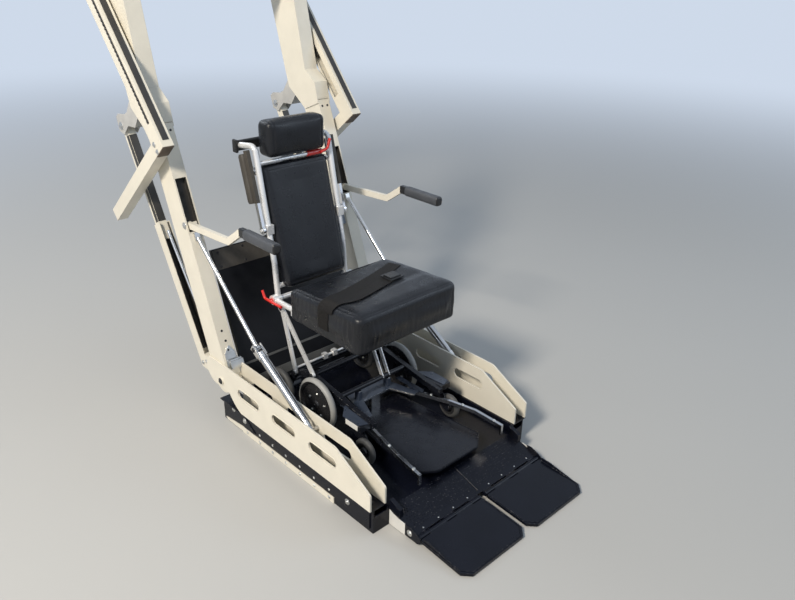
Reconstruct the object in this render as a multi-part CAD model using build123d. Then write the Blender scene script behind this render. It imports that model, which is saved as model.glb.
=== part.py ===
from build123d import *
import math
import os

os.makedirs("parts", exist_ok=True)

# Frame in mm: +X to the right seen from the front, -Y to the front, +Z up, floor at z = 0.
# Side outlines are lists of (y, z). A right-hand piece is drawn and its left twin mirrored.

# Clearances
SOFT_GAP = 0.3        # soft or round pieces beside their neighbours
RUN_FIT = 0.05        # radial play of a pin in its bore
KNUCKLE_GAP = 1.0     # between two hinge knuckles

# Platform tray
DECK_Z = 60.0
SHEET = 4.0
DECK_REAR = 472.0
DECK_FRONT = -331.0
KERB_X = 288.0
WALL_X = 347.0
LEDGE_Z = 87.0        # top of the ledge that carries the side plates
LEDGE_X = 360.0
FOOT_LIP = 20.0
RIB_X = 96.0
STRIP_Y = (-152.0, 350.0)
STRIP_Z = 23.0
STRIP_T = 3.0

# Side plates
PLATE_T = 6.0
OUTER_X = 354.0
INNER_X = 296.0
SLOT_Z = 169.0
SLOT_H = 36.0
SLOTS = [(222.0, 348.0), (23.0, 148.0), (-180.0, -46.0)]
SHOULDER = (-175.0, 230.0)   # where the top edge starts to fall to the nose
NOSE_Z = 149.0
PIVOT = (451.0, 168.0)
PIVOT_R = 9.0
TAIL_PIN = (526.0, 176.0)
STRUT_PIN = (-25.0, 208.0)
PIN_R = 7.0

# Posts
POST_X = 303.0
POST_W = 50.0
POST_WALL = 3.0
POST_LEAN = 20.59
POST_FRONT = 338.0    # where the front line meets the floor
POST_DEPTH = 95.5
POST_TOP_S = (1149.4, 1288.3)
STOW_Z = (676.0, 845.0)
STOW_W = 40.0

# Head sleeves, brackets and cross bar
CHEEK = 4.0
HEAD_TOP = 1450.0
LATCH_PIN = (1000.0, 959.0)
BAR_Y = (905.0, 965.0)
BAR_Z = (1390.0, 1430.0)

# Fold links behind the posts
LINK_FOOT = (580.0, 168.0)
LINK_X = 308.0
LINK_W = 40.0
LINK_D = 44.0
LINK_KNEE = 534.0
LINK_THIN = 5.0
STAY_R = 5.0
STAY_TOP = (790.0, 622.0)

# Fixed rails; t runs up the rail, n square to it towards the rear
RAIL_SLOPE = 50.0
RAIL_X = 368.0
RAIL_W = 40.0
RAIL_N = (-171.0, -107.0)
RAIL_BASE = 1127.0
RAIL_T = (RAIL_BASE, 3488.0)
TRACK_N = (-150.0, -112.0)
TRACK_SLOT = 28.0
TRACK_T = (RAIL_BASE + 103.0, RAIL_T[1] - 26.0)
RAIL_WEB = 4.0
SHOE_T = (1450.0, 1600.0)
SHOE_L = 84.0
SHOE_GAP = 0.4
LEG_SIZE = 45.0
LEG_T = {"stand": RAIL_BASE, "sill": 2142.0}
LEG_END_N = 387.0
BEAM_D = 80.0
BEAM_Z = (1345.0, 1385.0)
BEAM_WALL = 4.0
BEAM_BOLTS_X = 250.0
BEAM_BOLT_R = 6.5

# Ramp nose and roll-stop flaps
HINGE = (-450.0, 20.0)
KNUCKLE_R = 8.0
HINGE_PIN_R = 4.0
RAMP_X = 282.0
RAMP_END = (-440.5, 27.0)
FLAP_X = (10.0, 280.0)
FLAP_LEN = 190.0
FLAP_FALL = 4.0
FLAP_T = 3.0
FLAP_LIP = 10.0
RAMP_KNUCKLES = [(12.0, 52.0), (126.0, 166.0), (238.0, 278.0)]
CURB_Y = (-374.0, DECK_FRONT)

# Bridge plate between the posts
BRIDGE_X = 272.0
BRIDGE_FRONT = 378.0
BRIDGE_Z = (84.0, 590.0)
BRIDGE_T = 16.0
BRIDGE_HINGE = (414.0, 72.0)

# Handrails
GRAB_X = 337.0
GRAB_W = 14.0
GRAB_D = 22.0
GRAB_LINE = [(613.0, 695.0), (362.0, 710.0), (287.0, 762.0), (108.0, 762.0)]
GRIP_Y = (100.0, 262.0)
GRIP_R = 15.0

# Telescopic struts
STRUT_X = 328.0
STRUT_LINE = [(577.0, 657.0), (553.0, 635.0), (256.0, 367.0)]
STRUT_ROOT = (690.0, 718.0, 8.0)
STRUT_ROD_R = 7.0
STRUT_TUBE_R = 14.0
STRUT_FOOT = (-20.0, 192.0)

# Chair
SEAT_X = 218.0
SEAT_Y = (-119.0, 243.0)
SEAT_Z = (473.0, 575.0)
SEAT_FALL = 18.0      # the top drops by this to the rear
BACK_LOW = (352.0, 520.0)
BACK_HIGH = (463.0, 890.0)
BACK_HALF = (127.0, 138.75)
BACK_T = 42.0
HEAD_X = 124.0
HEAD_Y = (436.0, 503.2)
HEAD_Z = (915.0, 1035.0)
FRAME_R = 10.0
BACK_TUBE_X = 150.0
SIDE_TUBE_X = 165.0
FRAME_NODE = (384.0, 446.0)
NODE_REACH = SIDE_TUBE_X + FRAME_R + 1
LEG_HEAD = (344.0, 428.0)
LEG_FEET = [(180.0, 236.0), (280.0, 203.0)]
LEG_BAR_W = 18.0
LEG_BAR_X = (161.0, 168.0)
SILL_TUBE = [(338.0, 130.3), (290.0, 198.0), (200.0, 222.0), (-40.0, 184.0), (-118.0, 178.0)]
SILL_TUBE_X = (143.0, 161.0)
TOP_BAR = (462.9, 903.0)
BACK_BAR_Y = 513.2
LEG_BAR = (60.0, 200.0)
MID_WHEEL = (129.0, 188.0, 95.0, 24.0)
REAR_WHEEL = (338.0, 188.0, 70.0, 24.0)
FRONT_WHEEL = (-123.0, 195.0, 45.0, 22.0)
ARM_PIVOT = (419.0, 690.0)
ARM_TOP = (487.0, 936.0)
ARM_X = 173.0
PLATE_Z = 96.0

T_UP = (math.cos(math.radians(RAIL_SLOPE)), math.sin(math.radians(RAIL_SLOPE)))
LEAN = math.radians(POST_LEAN)
POST_AXIS = (math.sin(LEAN), math.cos(LEAN))


def along_rail(t, n):
    """Point (y, z) at distance t up the rail slope and n square to it."""
    return (t * T_UP[0] + n * T_UP[1], t * T_UP[1] - n * T_UP[0])


def along_post(s, w, front=POST_FRONT):
    """Point (y, z) at distance s up the lean and w behind the front line."""
    return (front + s * POST_AXIS[0] + w * POST_AXIS[1], s * POST_AXIS[1] - w * POST_AXIS[0])


def outline(start, *steps):
    """Closed side face; a step is a corner, or an arc as (point on it, end)."""
    edges = []
    here = start
    for step in steps:
        if isinstance(step[0], tuple):
            edges.append(Edge.make_three_point_arc(here, step[0], step[1]))
            here = step[1]
        else:
            edges.append(Edge.make_line(here, step))
            here = step
    edges.append(Edge.make_line(here, start))
    return Face(Wire(edges))


def slab(face, x0, x1):
    """A side face drawn in (y, z) made solid from x0 to x1."""
    return extrude(Plane.YZ.offset(x0) * face, amount=x1 - x0, dir=(1, 0, 0))


def block(x, y, z):
    """Box from three (low, high) pairs."""
    centre = [(low + high) / 2 for low, high in (x, y, z)]
    return Pos(*centre) * Box(x[1] - x[0], y[1] - y[0], z[1] - z[0])


def disc(at, x0, x1, r):
    """Cylinder along X through the side point at."""
    turn = Location(((x0 + x1) / 2, at[0], at[1]), (0, 90, 0))
    return turn * Cylinder(r, abs(x1 - x0))


def rod(start, end, r):
    """Round bar between two points in space."""
    axis = Vector(*end) - Vector(*start)
    return extrude(Plane(origin=start, z_dir=axis) * Circle(r), amount=axis.length)


def tube(points, r, bend):
    """Bent round bar through points in space."""
    path = FilletPolyline(*points, radius=bend)
    return sweep(Plane(origin=path @ 0, z_dir=path % 0) * Circle(r), path=path)


def ribbon(points, width):
    """Side face of a flat bar that follows points, mitred at its corners."""
    left = []
    right = []
    for i, (y, z) in enumerate(points):
        before = points[max(i - 1, 0)]
        after = points[min(i + 1, len(points) - 1)]
        ways = []
        for a, b in ((before, (y, z)), ((y, z), after)):
            length = math.dist(a, b)
            if length > 0:
                ways.append(((b[0] - a[0]) / length, (b[1] - a[1]) / length))
        way = (sum(w[0] for w in ways), sum(w[1] for w in ways))
        size = math.hypot(*way)
        side = (-way[1] / size, way[0] / size)
        half = width / 2 / abs(side[0] * -ways[0][1] + side[1] * ways[0][0])
        left.append((y + side[0] * half, z + side[1] * half))
        right.append((y - side[0] * half, z - side[1] * half))
    corners = left + right[::-1]
    return outline(corners[0], *corners[1:])


def beside(base, *offsets):
    """Side points at offsets from a base point."""
    return [(base[0] + y, base[1] + z) for y, z in offsets]


def strip_between(start, end, width, offset=0.0):
    """Side face of a straight band of a width, moved square to itself by offset."""
    length = math.dist(start, end)
    square = (-(end[1] - start[1]) / length, (end[0] - start[0]) / length)
    low = offset - width / 2
    high = offset + width / 2
    corners = [(p[0] + square[0] * k, p[1] + square[1] * k)
               for p, k in ((start, low), (end, low), (end, high), (start, high))]
    return outline(corners[0], *corners[1:])


def save(name, shape):
    """Write one solid."""
    solids = shape.solids()
    if len(solids) != 1:
        raise ValueError(name + " has " + str(len(solids)) + " solids")
    solid = solids[0]
    solid.label = name
    export_step(solid, "parts/" + name + ".step")


def save_pair(name, right):
    """Write a right-hand piece and its mirrored left twin."""
    save(name + "_right", right)
    save(name + "_left", mirror(right, about=Plane.YZ))


def bridge_hinge():
    """Hinge pin of the bridge plate on four ears that stand on the deck."""
    pin = disc(BRIDGE_HINGE, -244.0, 244.0, HINGE_PIN_R)
    y, z = BRIDGE_HINGE
    ear = outline((y - 12, DECK_Z), (y + 7, DECK_Z), (y + 6, z + 4), (y - 8, z + 4))
    for x in (-244.0, -44.0, 32.0, 232.0):
        pin += slab(ear, x, x + 12)
    return pin


def deck_tray():
    """Folded tray: deck, kerb walls, outer walls, ledges, ribs and floor lips."""
    length = (DECK_FRONT, DECK_REAR)
    tray = block((-KERB_X, KERB_X), length, (DECK_Z - SHEET, DECK_Z))
    for s in (-1, 1):
        for x0, x1, z0, z1 in (
            (KERB_X, KERB_X + SHEET, 0.0, LEDGE_Z),
            (KERB_X, LEDGE_X, LEDGE_Z - SHEET, LEDGE_Z),
            (WALL_X - SHEET, WALL_X, 0.0, LEDGE_Z),
            (WALL_X - FOOT_LIP, WALL_X, 0.0, SHEET),
            (RIB_X, RIB_X + SHEET, 2.0, DECK_Z),
        ):
            tray += block(tuple(sorted((s * x0, s * x1))), length, (z0, z1))
    for y in (DECK_FRONT, -SHEET / 2, DECK_REAR - SHEET):
        tray += block((-WALL_X + 1, WALL_X - 1), (y, y + SHEET), (0.0, DECK_Z))
    return tray + bridge_hinge()


def plate_slots(face_x):
    """The three long holes of a side plate."""
    cuts = []
    for y0, y1 in SLOTS:
        mid = (y0 + y1) / 2
        hole = SlotOverall(y1 - y0, SLOT_H)
        place = Plane(origin=(face_x - 1, mid, SLOT_Z), x_dir=(0, 1, 0), z_dir=(1, 0, 0))
        cuts.append(extrude(place * hole, amount=PLATE_T + 2))
    return cuts


def pivot_pin():
    """Pin through both side plates and the foot of the post."""
    pin = disc(PIVOT, POST_X - 1, OUTER_X + PLATE_T, PIVOT_R)
    return pin + disc(PIVOT, OUTER_X + PLATE_T, OUTER_X + PLATE_T + 4, PIVOT_R + 5)


def tail_pin():
    """Pin of the fold link from the tail of the outer plate."""
    return disc(TAIL_PIN, LINK_X - 6, OUTER_X, PIN_R) + disc(TAIL_PIN, LINK_X - 6, LINK_X, PIN_R + 4)


def plate_nose():
    """Steps along the front of a side plate: shoulder, falling edge and rounded nose."""
    y, z = SHOULDER
    return [(y + 15, z), ((y - 1, z - 2), (y - 15, z - 9)), (DECK_FRONT + 6, NOSE_Z),
            ((DECK_FRONT + 1, NOSE_Z - 5), (DECK_FRONT, NOSE_Z - 11))]


def outer_plate():
    """Side plate that runs on behind the post as a tail for the fold link."""
    py, pz = PIVOT
    ty, tz = TAIL_PIN
    face = outline(
        (DECK_FRONT, LEDGE_Z), (py - 113, LEDGE_Z), ((py - 77, pz - 60), (py - 47, pz - 28)),
        (py + 29, pz - 27), ((ty + 2, tz - 16), (ty + 17, tz + 32)), ((ty + 11, tz + 52), (ty - 7, tz + 61)),
        (py + 29, pz + 70), *plate_nose(),
    )
    plate = slab(face, OUTER_X, OUTER_X + PLATE_T)
    for cut in plate_slots(OUTER_X):
        plate -= cut
    return plate + pivot_pin() + tail_pin()


def inner_plate():
    rear = PIVOT[0] - 38
    face = outline((DECK_FRONT, LEDGE_Z), (rear, LEDGE_Z), (rear, PIVOT[1] + 69), *plate_nose())
    plate = slab(face, INNER_X, INNER_X + PLATE_T)
    for cut in plate_slots(INNER_X):
        plate -= cut
    return plate


def post():
    """Hollow leaning post with a rounded foot and a stowage slot in its front."""
    foot_s = (PIVOT[0] - POST_FRONT) * POST_AXIS[0] + PIVOT[1] * POST_AXIS[1]
    half = POST_DEPTH / 2
    face = outline(
        along_post(foot_s, 0.0), (along_post(foot_s - half, half), along_post(foot_s, POST_DEPTH)),
        along_post(POST_TOP_S[1], POST_DEPTH), along_post(POST_TOP_S[0], 0.0),
    )
    shell = slab(face, POST_X, POST_X + POST_W)
    inside = outline(
        along_post(foot_s + half, POST_WALL), along_post(foot_s + half, POST_DEPTH - POST_WALL),
        along_post(1400.0, POST_DEPTH - POST_WALL), along_post(1400.0, POST_WALL),
    )
    shell -= slab(inside, POST_X + POST_WALL, POST_X + POST_W - POST_WALL)
    low, high = (z / POST_AXIS[1] for z in STOW_Z)
    stow = outline(along_post(low, -5.0), along_post(low, 20.0),
                   along_post(high, 20.0), along_post(high, -5.0))
    mid = POST_X + POST_W / 2
    shell -= slab(stow, mid - STOW_W / 2, mid + STOW_W / 2)
    shell -= disc(PIVOT, POST_X - 1, POST_X + POST_W + 1, PIVOT_R)
    shell -= disc(GRAB_LINE[0], POST_X - 1, POST_X + POST_W + 1, PIN_R)
    return shell


def head_sleeve():
    """Head on top of a post: two cheeks around the post and a closed box above."""
    x0 = POST_X - CHEEK
    x1 = POST_X + POST_W + CHEEK
    at = along_post(POST_TOP_S[0], 0.0)
    top = HEAD_TOP - at[1]
    face = outline(*beside(at, (-26, -73), (-9, 3), (49, 42), (123, top), (282, top), (167, 0),
                           (155, -36), (55, -106)))
    inside = outline(*beside(at, (-52, -136), (0, 0), (55, 38.4), (126, top - CHEEK),
                             (276.3, top - CHEEK), (163, 2), (188, -46), (58, -146)))
    return slab(face, x0, x1) - slab(inside, POST_X, POST_X + POST_W)


def head_bracket():
    """Arm from the head to the latch pin of the fold link."""
    arm = outline(*beside(LATCH_PIN, (-150, 71), (-140, 109), (-97, 114), (-56, 57), (-30, 44),
                          (-50, 9), (-108, 13)))
    ear = outline(*beside(LATCH_PIN, (-65, 51), (17, 40), (34, 26), (18, -21), (-16, -28), (-55, 11)))
    bracket = slab(arm, POST_X, POST_X + POST_W)
    for x in (POST_X, POST_X + POST_W - PLATE_T):
        bracket += slab(ear, x, x + PLATE_T)
    bracket -= slab(strip_between(LINK_FOOT, LATCH_PIN, LINK_D + 8), LINK_X - 3, LINK_X + LINK_W + 2)
    bracket += disc(LATCH_PIN, POST_X, POST_X + POST_W, PIN_R)
    return bracket


def fold_link():
    """Slender channel from the tail of the side plates to the latch pin."""
    size = math.dist(LINK_FOOT, LATCH_PIN)
    way = ((LATCH_PIN[0] - LINK_FOOT[0]) / size, (LATCH_PIN[1] - LINK_FOOT[1]) / size)
    knee = (LINK_FOOT[0] + way[0] * LINK_KNEE, LINK_FOOT[1] + way[1] * LINK_KNEE)
    past = (LATCH_PIN[0] + way[0] * 16, LATCH_PIN[1] + way[1] * 16)
    low = slab(strip_between(LINK_FOOT, knee, LINK_D), LINK_X, LINK_X + LINK_W)
    low -= slab(strip_between(LINK_FOOT, knee, LINK_D, offset=POST_WALL),
                LINK_X + POST_WALL, LINK_X + LINK_W - POST_WALL)
    back = (LINK_FOOT[0] + way[0] * (LINK_KNEE - 60), LINK_FOOT[1] + way[1] * (LINK_KNEE - 60))
    x0 = LINK_X + LINK_THIN
    x1 = LINK_X + LINK_W - LINK_THIN
    high = slab(strip_between(back, past, LINK_D - 12, offset=-6.0), x0, x1)
    high -= disc(LATCH_PIN, x0 - 1, x1 + 1, PIN_R)
    start, arc, end = beside(TAIL_PIN, (0, -12.5), (-12.5, 0), (-2, 12))
    tongue = outline(start, (arc, end), *beside(LINK_FOOT, (-24, 44), (5, 46), (32, 28), (19, -10),
                                                (-20, -12)))
    foot = slab(tongue, LINK_X, LINK_X + LINK_W)
    foot -= disc(TAIL_PIN, LINK_X - 1, LINK_X + LINK_W + 1, PIN_R)
    return low + high + foot


def knee_stay():
    """Thin stay from the knee of the fold link to the back of the post."""
    x = POST_X + POST_W / 2
    lug = slab(outline(along_post(318.0, POST_DEPTH), along_post(368.0, POST_DEPTH),
                       along_post(354.0, POST_DEPTH + 22), along_post(330.0, POST_DEPTH + 22)), x - 6, x + 6)
    bar = rod((x, *along_post(342.0, POST_DEPTH + 12)), (x, *STAY_TOP), STAY_R)
    return bar + lug


def rail():
    """Rail profile with a track, an open slot on the inner face and closed ends."""
    def band(t, n):
        corners = [along_rail(t[i], n[j]) for i, j in ((0, 0), (1, 0), (1, 1), (0, 1))]
        return outline(corners[0], *corners[1:])
    x0 = RAIL_X
    x1 = RAIL_X + RAIL_W
    bar = slab(band(RAIL_T, RAIL_N), x0, x1)
    hollow_t = (RAIL_T[0] + LEG_SIZE + 8, RAIL_T[1] - 5)
    bar -= slab(band(hollow_t, TRACK_N), x0 + RAIL_WEB, x1 - RAIL_WEB)
    front_n = (RAIL_N[0] + RAIL_WEB, TRACK_N[0] - RAIL_WEB)
    bar -= slab(band(hollow_t, front_n), x0 + RAIL_WEB, x1 - RAIL_WEB)
    mid = (TRACK_N[0] + TRACK_N[1]) / 2
    opening = (mid - TRACK_SLOT / 2, mid + TRACK_SLOT / 2)
    bar -= slab(band(TRACK_T, opening), x0 - 1, x0 + RAIL_WEB + 1)
    return bar


def carriage():
    """Two sliding shoes in the track on the pins of the head."""
    mid = (TRACK_N[0] + TRACK_N[1]) / 2
    wide = TRACK_N[1] - TRACK_N[0] - 2 * SHOE_GAP
    x0 = RAIL_X + RAIL_WEB + SHOE_GAP
    x1 = RAIL_X + RAIL_W - RAIL_WEB - SHOE_GAP
    start = POST_X + POST_W + CHEEK
    low = along_rail(SHOE_T[0], mid)
    high = along_rail(SHOE_T[1], mid)
    body = slab(strip_between(low, high, TRACK_SLOT - 6), start, start + 6)
    for t in SHOE_T:
        at = along_rail(t, mid)
        ends = (along_rail(t - SHOE_L / 2, mid), along_rail(t + SHOE_L / 2, mid))
        body += slab(strip_between(ends[0], ends[1], wide), x0, x1)
        body += disc(at, start, x0 + 2, 12.0)
        body += disc(at, start, start + 6, 20.0)
    return body


def leg(kind):
    """Square leg behind the rail, level cut where it lands on the sill beam."""
    t0 = LEG_T[kind]
    n0 = RAIL_N[1]
    n1 = LEG_END_N
    a, b = along_rail(t0, n0), along_rail(t0 + LEG_SIZE, n0)
    if kind == "stand":
        c, d = along_rail(t0 + LEG_SIZE, n1), along_rail(t0, n1)
    else:
        fall = T_UP[0]
        run = T_UP[1]
        c = (b[0] + (b[1] - BEAM_Z[1]) * run / fall, BEAM_Z[1])
        d = (a[0] + (a[1] - BEAM_Z[1]) * run / fall, BEAM_Z[1])
    body = slab(outline(a, b, c, d), RAIL_X, RAIL_X + RAIL_W)
    wall = POST_WALL + 0.5
    a, b = along_rail(t0 + wall, n0 + wall), along_rail(t0 + LEG_SIZE - wall, n0 + wall)
    if kind == "stand":
        c, d = along_rail(t0 + LEG_SIZE - wall, n1 - wall), along_rail(t0 + wall, n1 - wall)
    else:
        floor = BEAM_Z[1] + wall
        c = (b[0] + (b[1] - floor) * run / fall, floor)
        d = (a[0] + (a[1] - floor) * run / fall, floor)
    return body - slab(outline(a, b, c, d), RAIL_X + wall, RAIL_X + RAIL_W - wall)


def sill_beam():
    """Hollow beam across the door sill, centred under the sill legs, with two bolt holes."""
    half = RAIL_X + RAIL_W
    y, z = along_rail(LEG_T["sill"] + LEG_SIZE / 2, RAIL_N[1])
    mid = round(y + (z - BEAM_Z[1]) * T_UP[1] / T_UP[0])
    span = (mid - BEAM_D / 2, mid + BEAM_D / 2)
    beam = block((-half, half), span, BEAM_Z)
    hollow = [(low + BEAM_WALL, high - BEAM_WALL) for low, high in (span, BEAM_Z)]
    beam -= block((-half + BEAM_WALL, half - BEAM_WALL), hollow[0], hollow[1])
    for s in (-1, 1):
        tall = BEAM_Z[1] - BEAM_Z[0] + 2
        beam -= Pos(s * BEAM_BOLTS_X, mid, sum(BEAM_Z) / 2) * Cylinder(BEAM_BOLT_R, tall)
    return beam


def ramp_top(y):
    """Height of the ramp's upper face."""
    return DECK_Z - (DECK_FRONT - y) * (DECK_Z - RAMP_END[1]) / (DECK_FRONT - RAMP_END[0])


def ramp_nose():
    """Short fixed slope in front of the deck with hinge knuckles and side curbs."""
    top = outline((DECK_FRONT, DECK_Z), RAMP_END, (RAMP_END[0], RAMP_END[1] - SHEET),
                  (DECK_FRONT, DECK_Z - SHEET))
    cheek = outline((DECK_FRONT, DECK_Z), RAMP_END, (RAMP_END[0], 6.0), (-400.0, 1.5), (DECK_FRONT, 1.5))
    nose = slab(top, -RAMP_X, RAMP_X)
    for x in (-RAMP_X, -SHEET / 2, RAMP_X - SHEET):
        nose += slab(cheek, x, x + SHEET)
    for s in (-1, 1):
        for x0, x1 in RAMP_KNUCKLES:
            nose += disc(HINGE, s * x0, s * x1, KNUCKLE_R)
            low, high = sorted((s * x0, s * x1))
            nose += block((low, high), (HINGE[0], RAMP_END[0] + 2), (HINGE[1] - 2, RAMP_END[1] - 1))
        nose += disc(HINGE, s * RAMP_KNUCKLES[0][0], s * RAMP_KNUCKLES[-1][1], HINGE_PIN_R)
    return nose


def side_curb():
    """Pale curb beside the ramp with its guide roller boss."""
    body = outline((CURB_Y[1], 92.0), (CURB_Y[0], 76.0), (CURB_Y[0], ramp_top(CURB_Y[0])),
                   (CURB_Y[1], ramp_top(CURB_Y[1])))
    return slab(body, RAMP_X - 14, RAMP_X)


def flap():
    """Roll-stop flap: pressed sheet with a turned lip and hinge knuckles."""
    fall = math.radians(FLAP_FALL)
    place = Plane(origin=(0, HINGE[0], HINGE[1]), x_dir=(1, 0, 0),
                  z_dir=(0, -math.sin(fall), math.cos(fall)))
    start = KNUCKLE_R + 2 * KNUCKLE_GAP
    mid = sum(FLAP_X) / 2
    wide = FLAP_X[1] - FLAP_X[0]
    long = FLAP_LEN - start

    def sheet(inset, low, high):
        plan = Pos(mid, -(start + long / 2)) * RectangleRounded(wide - 2 * inset, long - 2 * inset, 6.0)
        return extrude(place * Pos(0, 0, low) * plan, amount=high - low)
    top = KNUCKLE_R - 3.0
    body = sheet(0.0, top - FLAP_LIP, top)
    corner = 26.0
    for s in (-1, 1):
        x = mid + s * wide / 2
        edge = [(x, -FLAP_LEN), (x - s * corner, -FLAP_LEN), (x, -FLAP_LEN + corner)]
        cut = make_face(Polyline(*edge, close=True))
        body -= extrude(place * Pos(0, 0, top - FLAP_LIP - 1) * cut, amount=FLAP_LIP + 2)
    inner = sheet(FLAP_T, top - FLAP_LIP - 1, top - FLAP_T)
    for s in (-1, 1):
        x = mid + s * wide / 2
        edge = [(x, -FLAP_LEN), (x - s * (corner + 6), -FLAP_LEN), (x, -FLAP_LEN + corner + 6)]
        cut = make_face(Polyline(*edge, close=True))
        inner -= extrude(place * Pos(0, 0, top - FLAP_LIP - 2) * cut, amount=FLAP_LIP + 2)
    body -= inner
    for (_, x0), (x1, _) in zip(RAMP_KNUCKLES, RAMP_KNUCKLES[1:]):
        x0 += KNUCKLE_GAP
        x1 -= KNUCKLE_GAP
        body += disc(HINGE, x0, x1, KNUCKLE_R)
        arm = Pos((x0 + x1) / 2, -(start + 2) / 2) * Rectangle(x1 - x0, start + 2)
        body += extrude(place * Pos(0, 0, top - FLAP_T - 2) * arm, amount=FLAP_T + 2)
        body -= disc(HINGE, x0 - 1, x1 + 1, HINGE_PIN_R + RUN_FIT)
    return body


def bridge_plate():
    """Leaning pan between the posts on a hinge at the deck."""
    low, high = (z / POST_AXIS[1] for z in BRIDGE_Z)
    pan = outline(along_post(low, 0.0, BRIDGE_FRONT), along_post(low, BRIDGE_T, BRIDGE_FRONT),
                  along_post(high, BRIDGE_T, BRIDGE_FRONT), along_post(high, 0.0, BRIDGE_FRONT))
    plate = slab(pan, -BRIDGE_X, BRIDGE_X)
    hollow = outline(along_post(low + SHEET, SHEET, BRIDGE_FRONT),
                     along_post(low + SHEET, BRIDGE_T + 1, BRIDGE_FRONT),
                     along_post(high - SHEET, BRIDGE_T + 1, BRIDGE_FRONT),
                     along_post(high - SHEET, SHEET, BRIDGE_FRONT))
    plate -= slab(hollow, -BRIDGE_X + SHEET, BRIDGE_X - SHEET)
    for x in (-200.0, 0.0, 200.0):
        tab = outline(along_post(low + 8, 0.0, BRIDGE_FRONT), along_post(low + 8, 10.0, BRIDGE_FRONT),
                      (BRIDGE_HINGE[0] + 6, BRIDGE_HINGE[1]), (BRIDGE_HINGE[0] - 6, BRIDGE_HINGE[1]))
        plate += slab(tab, x - 30, x + 30)
        plate += disc(BRIDGE_HINGE, x - 30, x + 30, 7.0)
    for x in (-200.0, 0.0, 200.0):
        plate -= disc(BRIDGE_HINGE, x - 31, x + 31, HINGE_PIN_R + RUN_FIT)
    return plate


def handrail():
    """Cranked flat bar on a pin in the post."""
    bar = slab(ribbon(GRAB_LINE, GRAB_D), GRAB_X - GRAB_W / 2, GRAB_X + GRAB_W / 2)
    bar += disc(GRAB_LINE[0], GRAB_X - GRAB_W / 2, GRAB_X + GRAB_W / 2, GRAB_D / 2)
    bar += disc(GRAB_LINE[0], POST_X, POST_X + POST_W, PIN_R - RUN_FIT)
    return bar


def handrail_grip():
    """Padded sleeve on the end of a handrail."""
    z = GRAB_LINE[-1][1]
    centre = (GRAB_X, sum(GRIP_Y) / 2, z)
    long = GRIP_Y[1] - GRIP_Y[0]
    turn = Location(centre, (90, 0, 0))
    pad = turn * extrude(RectangleRounded(2 * GRIP_R, 2 * GRIP_R + 4, 9.0), amount=long / 2, both=True)
    core = block((GRAB_X - GRAB_W / 2, GRAB_X + GRAB_W / 2), (GRAB_LINE[-1][0], GRIP_Y[1] + 10),
                 (z - GRAB_D / 2, z + GRAB_D / 2))
    return pad - core


def brace_upper():
    """Bright upper half of a folding brace: root on the post, cranked bar and eye."""
    body = tube([(STRUT_X, y, z) for y, z in STRUT_LINE], STRUT_ROD_R, 12.0)
    low, high, thick = STRUT_ROOT
    root = outline(along_post(low, 0.0), along_post(high, 0.0), along_post(high, -thick),
                   along_post(low, -thick))
    body += slab(root, STRUT_X - 9, STRUT_X + 9)
    eye = STRUT_LINE[-1]
    body += disc(eye, STRUT_X - 6, STRUT_X + 6, STRUT_ROD_R + 4)
    return body - disc(eye, STRUT_X - 7, STRUT_X + 7, 5.0)


def brace_lower():
    """Dark lower half of a folding brace: fork, pin, tube and foot pin."""
    eye = STRUT_LINE[-1]
    long = math.dist(eye, STRUT_FOOT)
    way = ((STRUT_FOOT[0] - eye[0]) / long, (STRUT_FOOT[1] - eye[1]) / long)
    start = (eye[0] + way[0] * 18, eye[1] + way[1] * 18)
    far = (eye[0] + way[0] * 44, eye[1] + way[1] * 44)
    body = rod((STRUT_X, *start), (STRUT_X, *STRUT_FOOT), STRUT_TUBE_R)
    for x in (-12.0, 8.0):
        body += slab(strip_between(eye, far, 22.0), STRUT_X + x, STRUT_X + x + 4)
        body += disc(eye, STRUT_X + x, STRUT_X + x + 4, 11.0)
    body += disc(eye, STRUT_X - 12, STRUT_X + 12, 5.0)
    return body + disc(STRUT_FOOT, INNER_X + PLATE_T, OUTER_X, PIN_R)


def arm_pin():
    """Pin of an armrest on the back tube."""
    clamp = block((BACK_TUBE_X - 12, BACK_TUBE_X + 14), (ARM_PIVOT[0] - 14, ARM_PIVOT[0] + 14),
                  (ARM_PIVOT[1] - 16, ARM_PIVOT[1] + 16))
    return clamp + disc(ARM_PIVOT, BACK_TUBE_X, ARM_X + 8, 5.0)


def seat_pan():
    """Flat pan under the seat cushion."""
    return block((-SEAT_X + 14, SEAT_X - 14), (SEAT_Y[0] + 14, SEAT_Y[1] - 6), (452.0, SEAT_Z[0] - SOFT_GAP))


def headrest_post():
    """Flat stem from the back frame up to the headrest."""
    back = HEAD_Y[1] + SOFT_GAP
    return block((-24.0, 24.0), (back, back + 8), (864.0, HEAD_Z[0] + 75))


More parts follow.
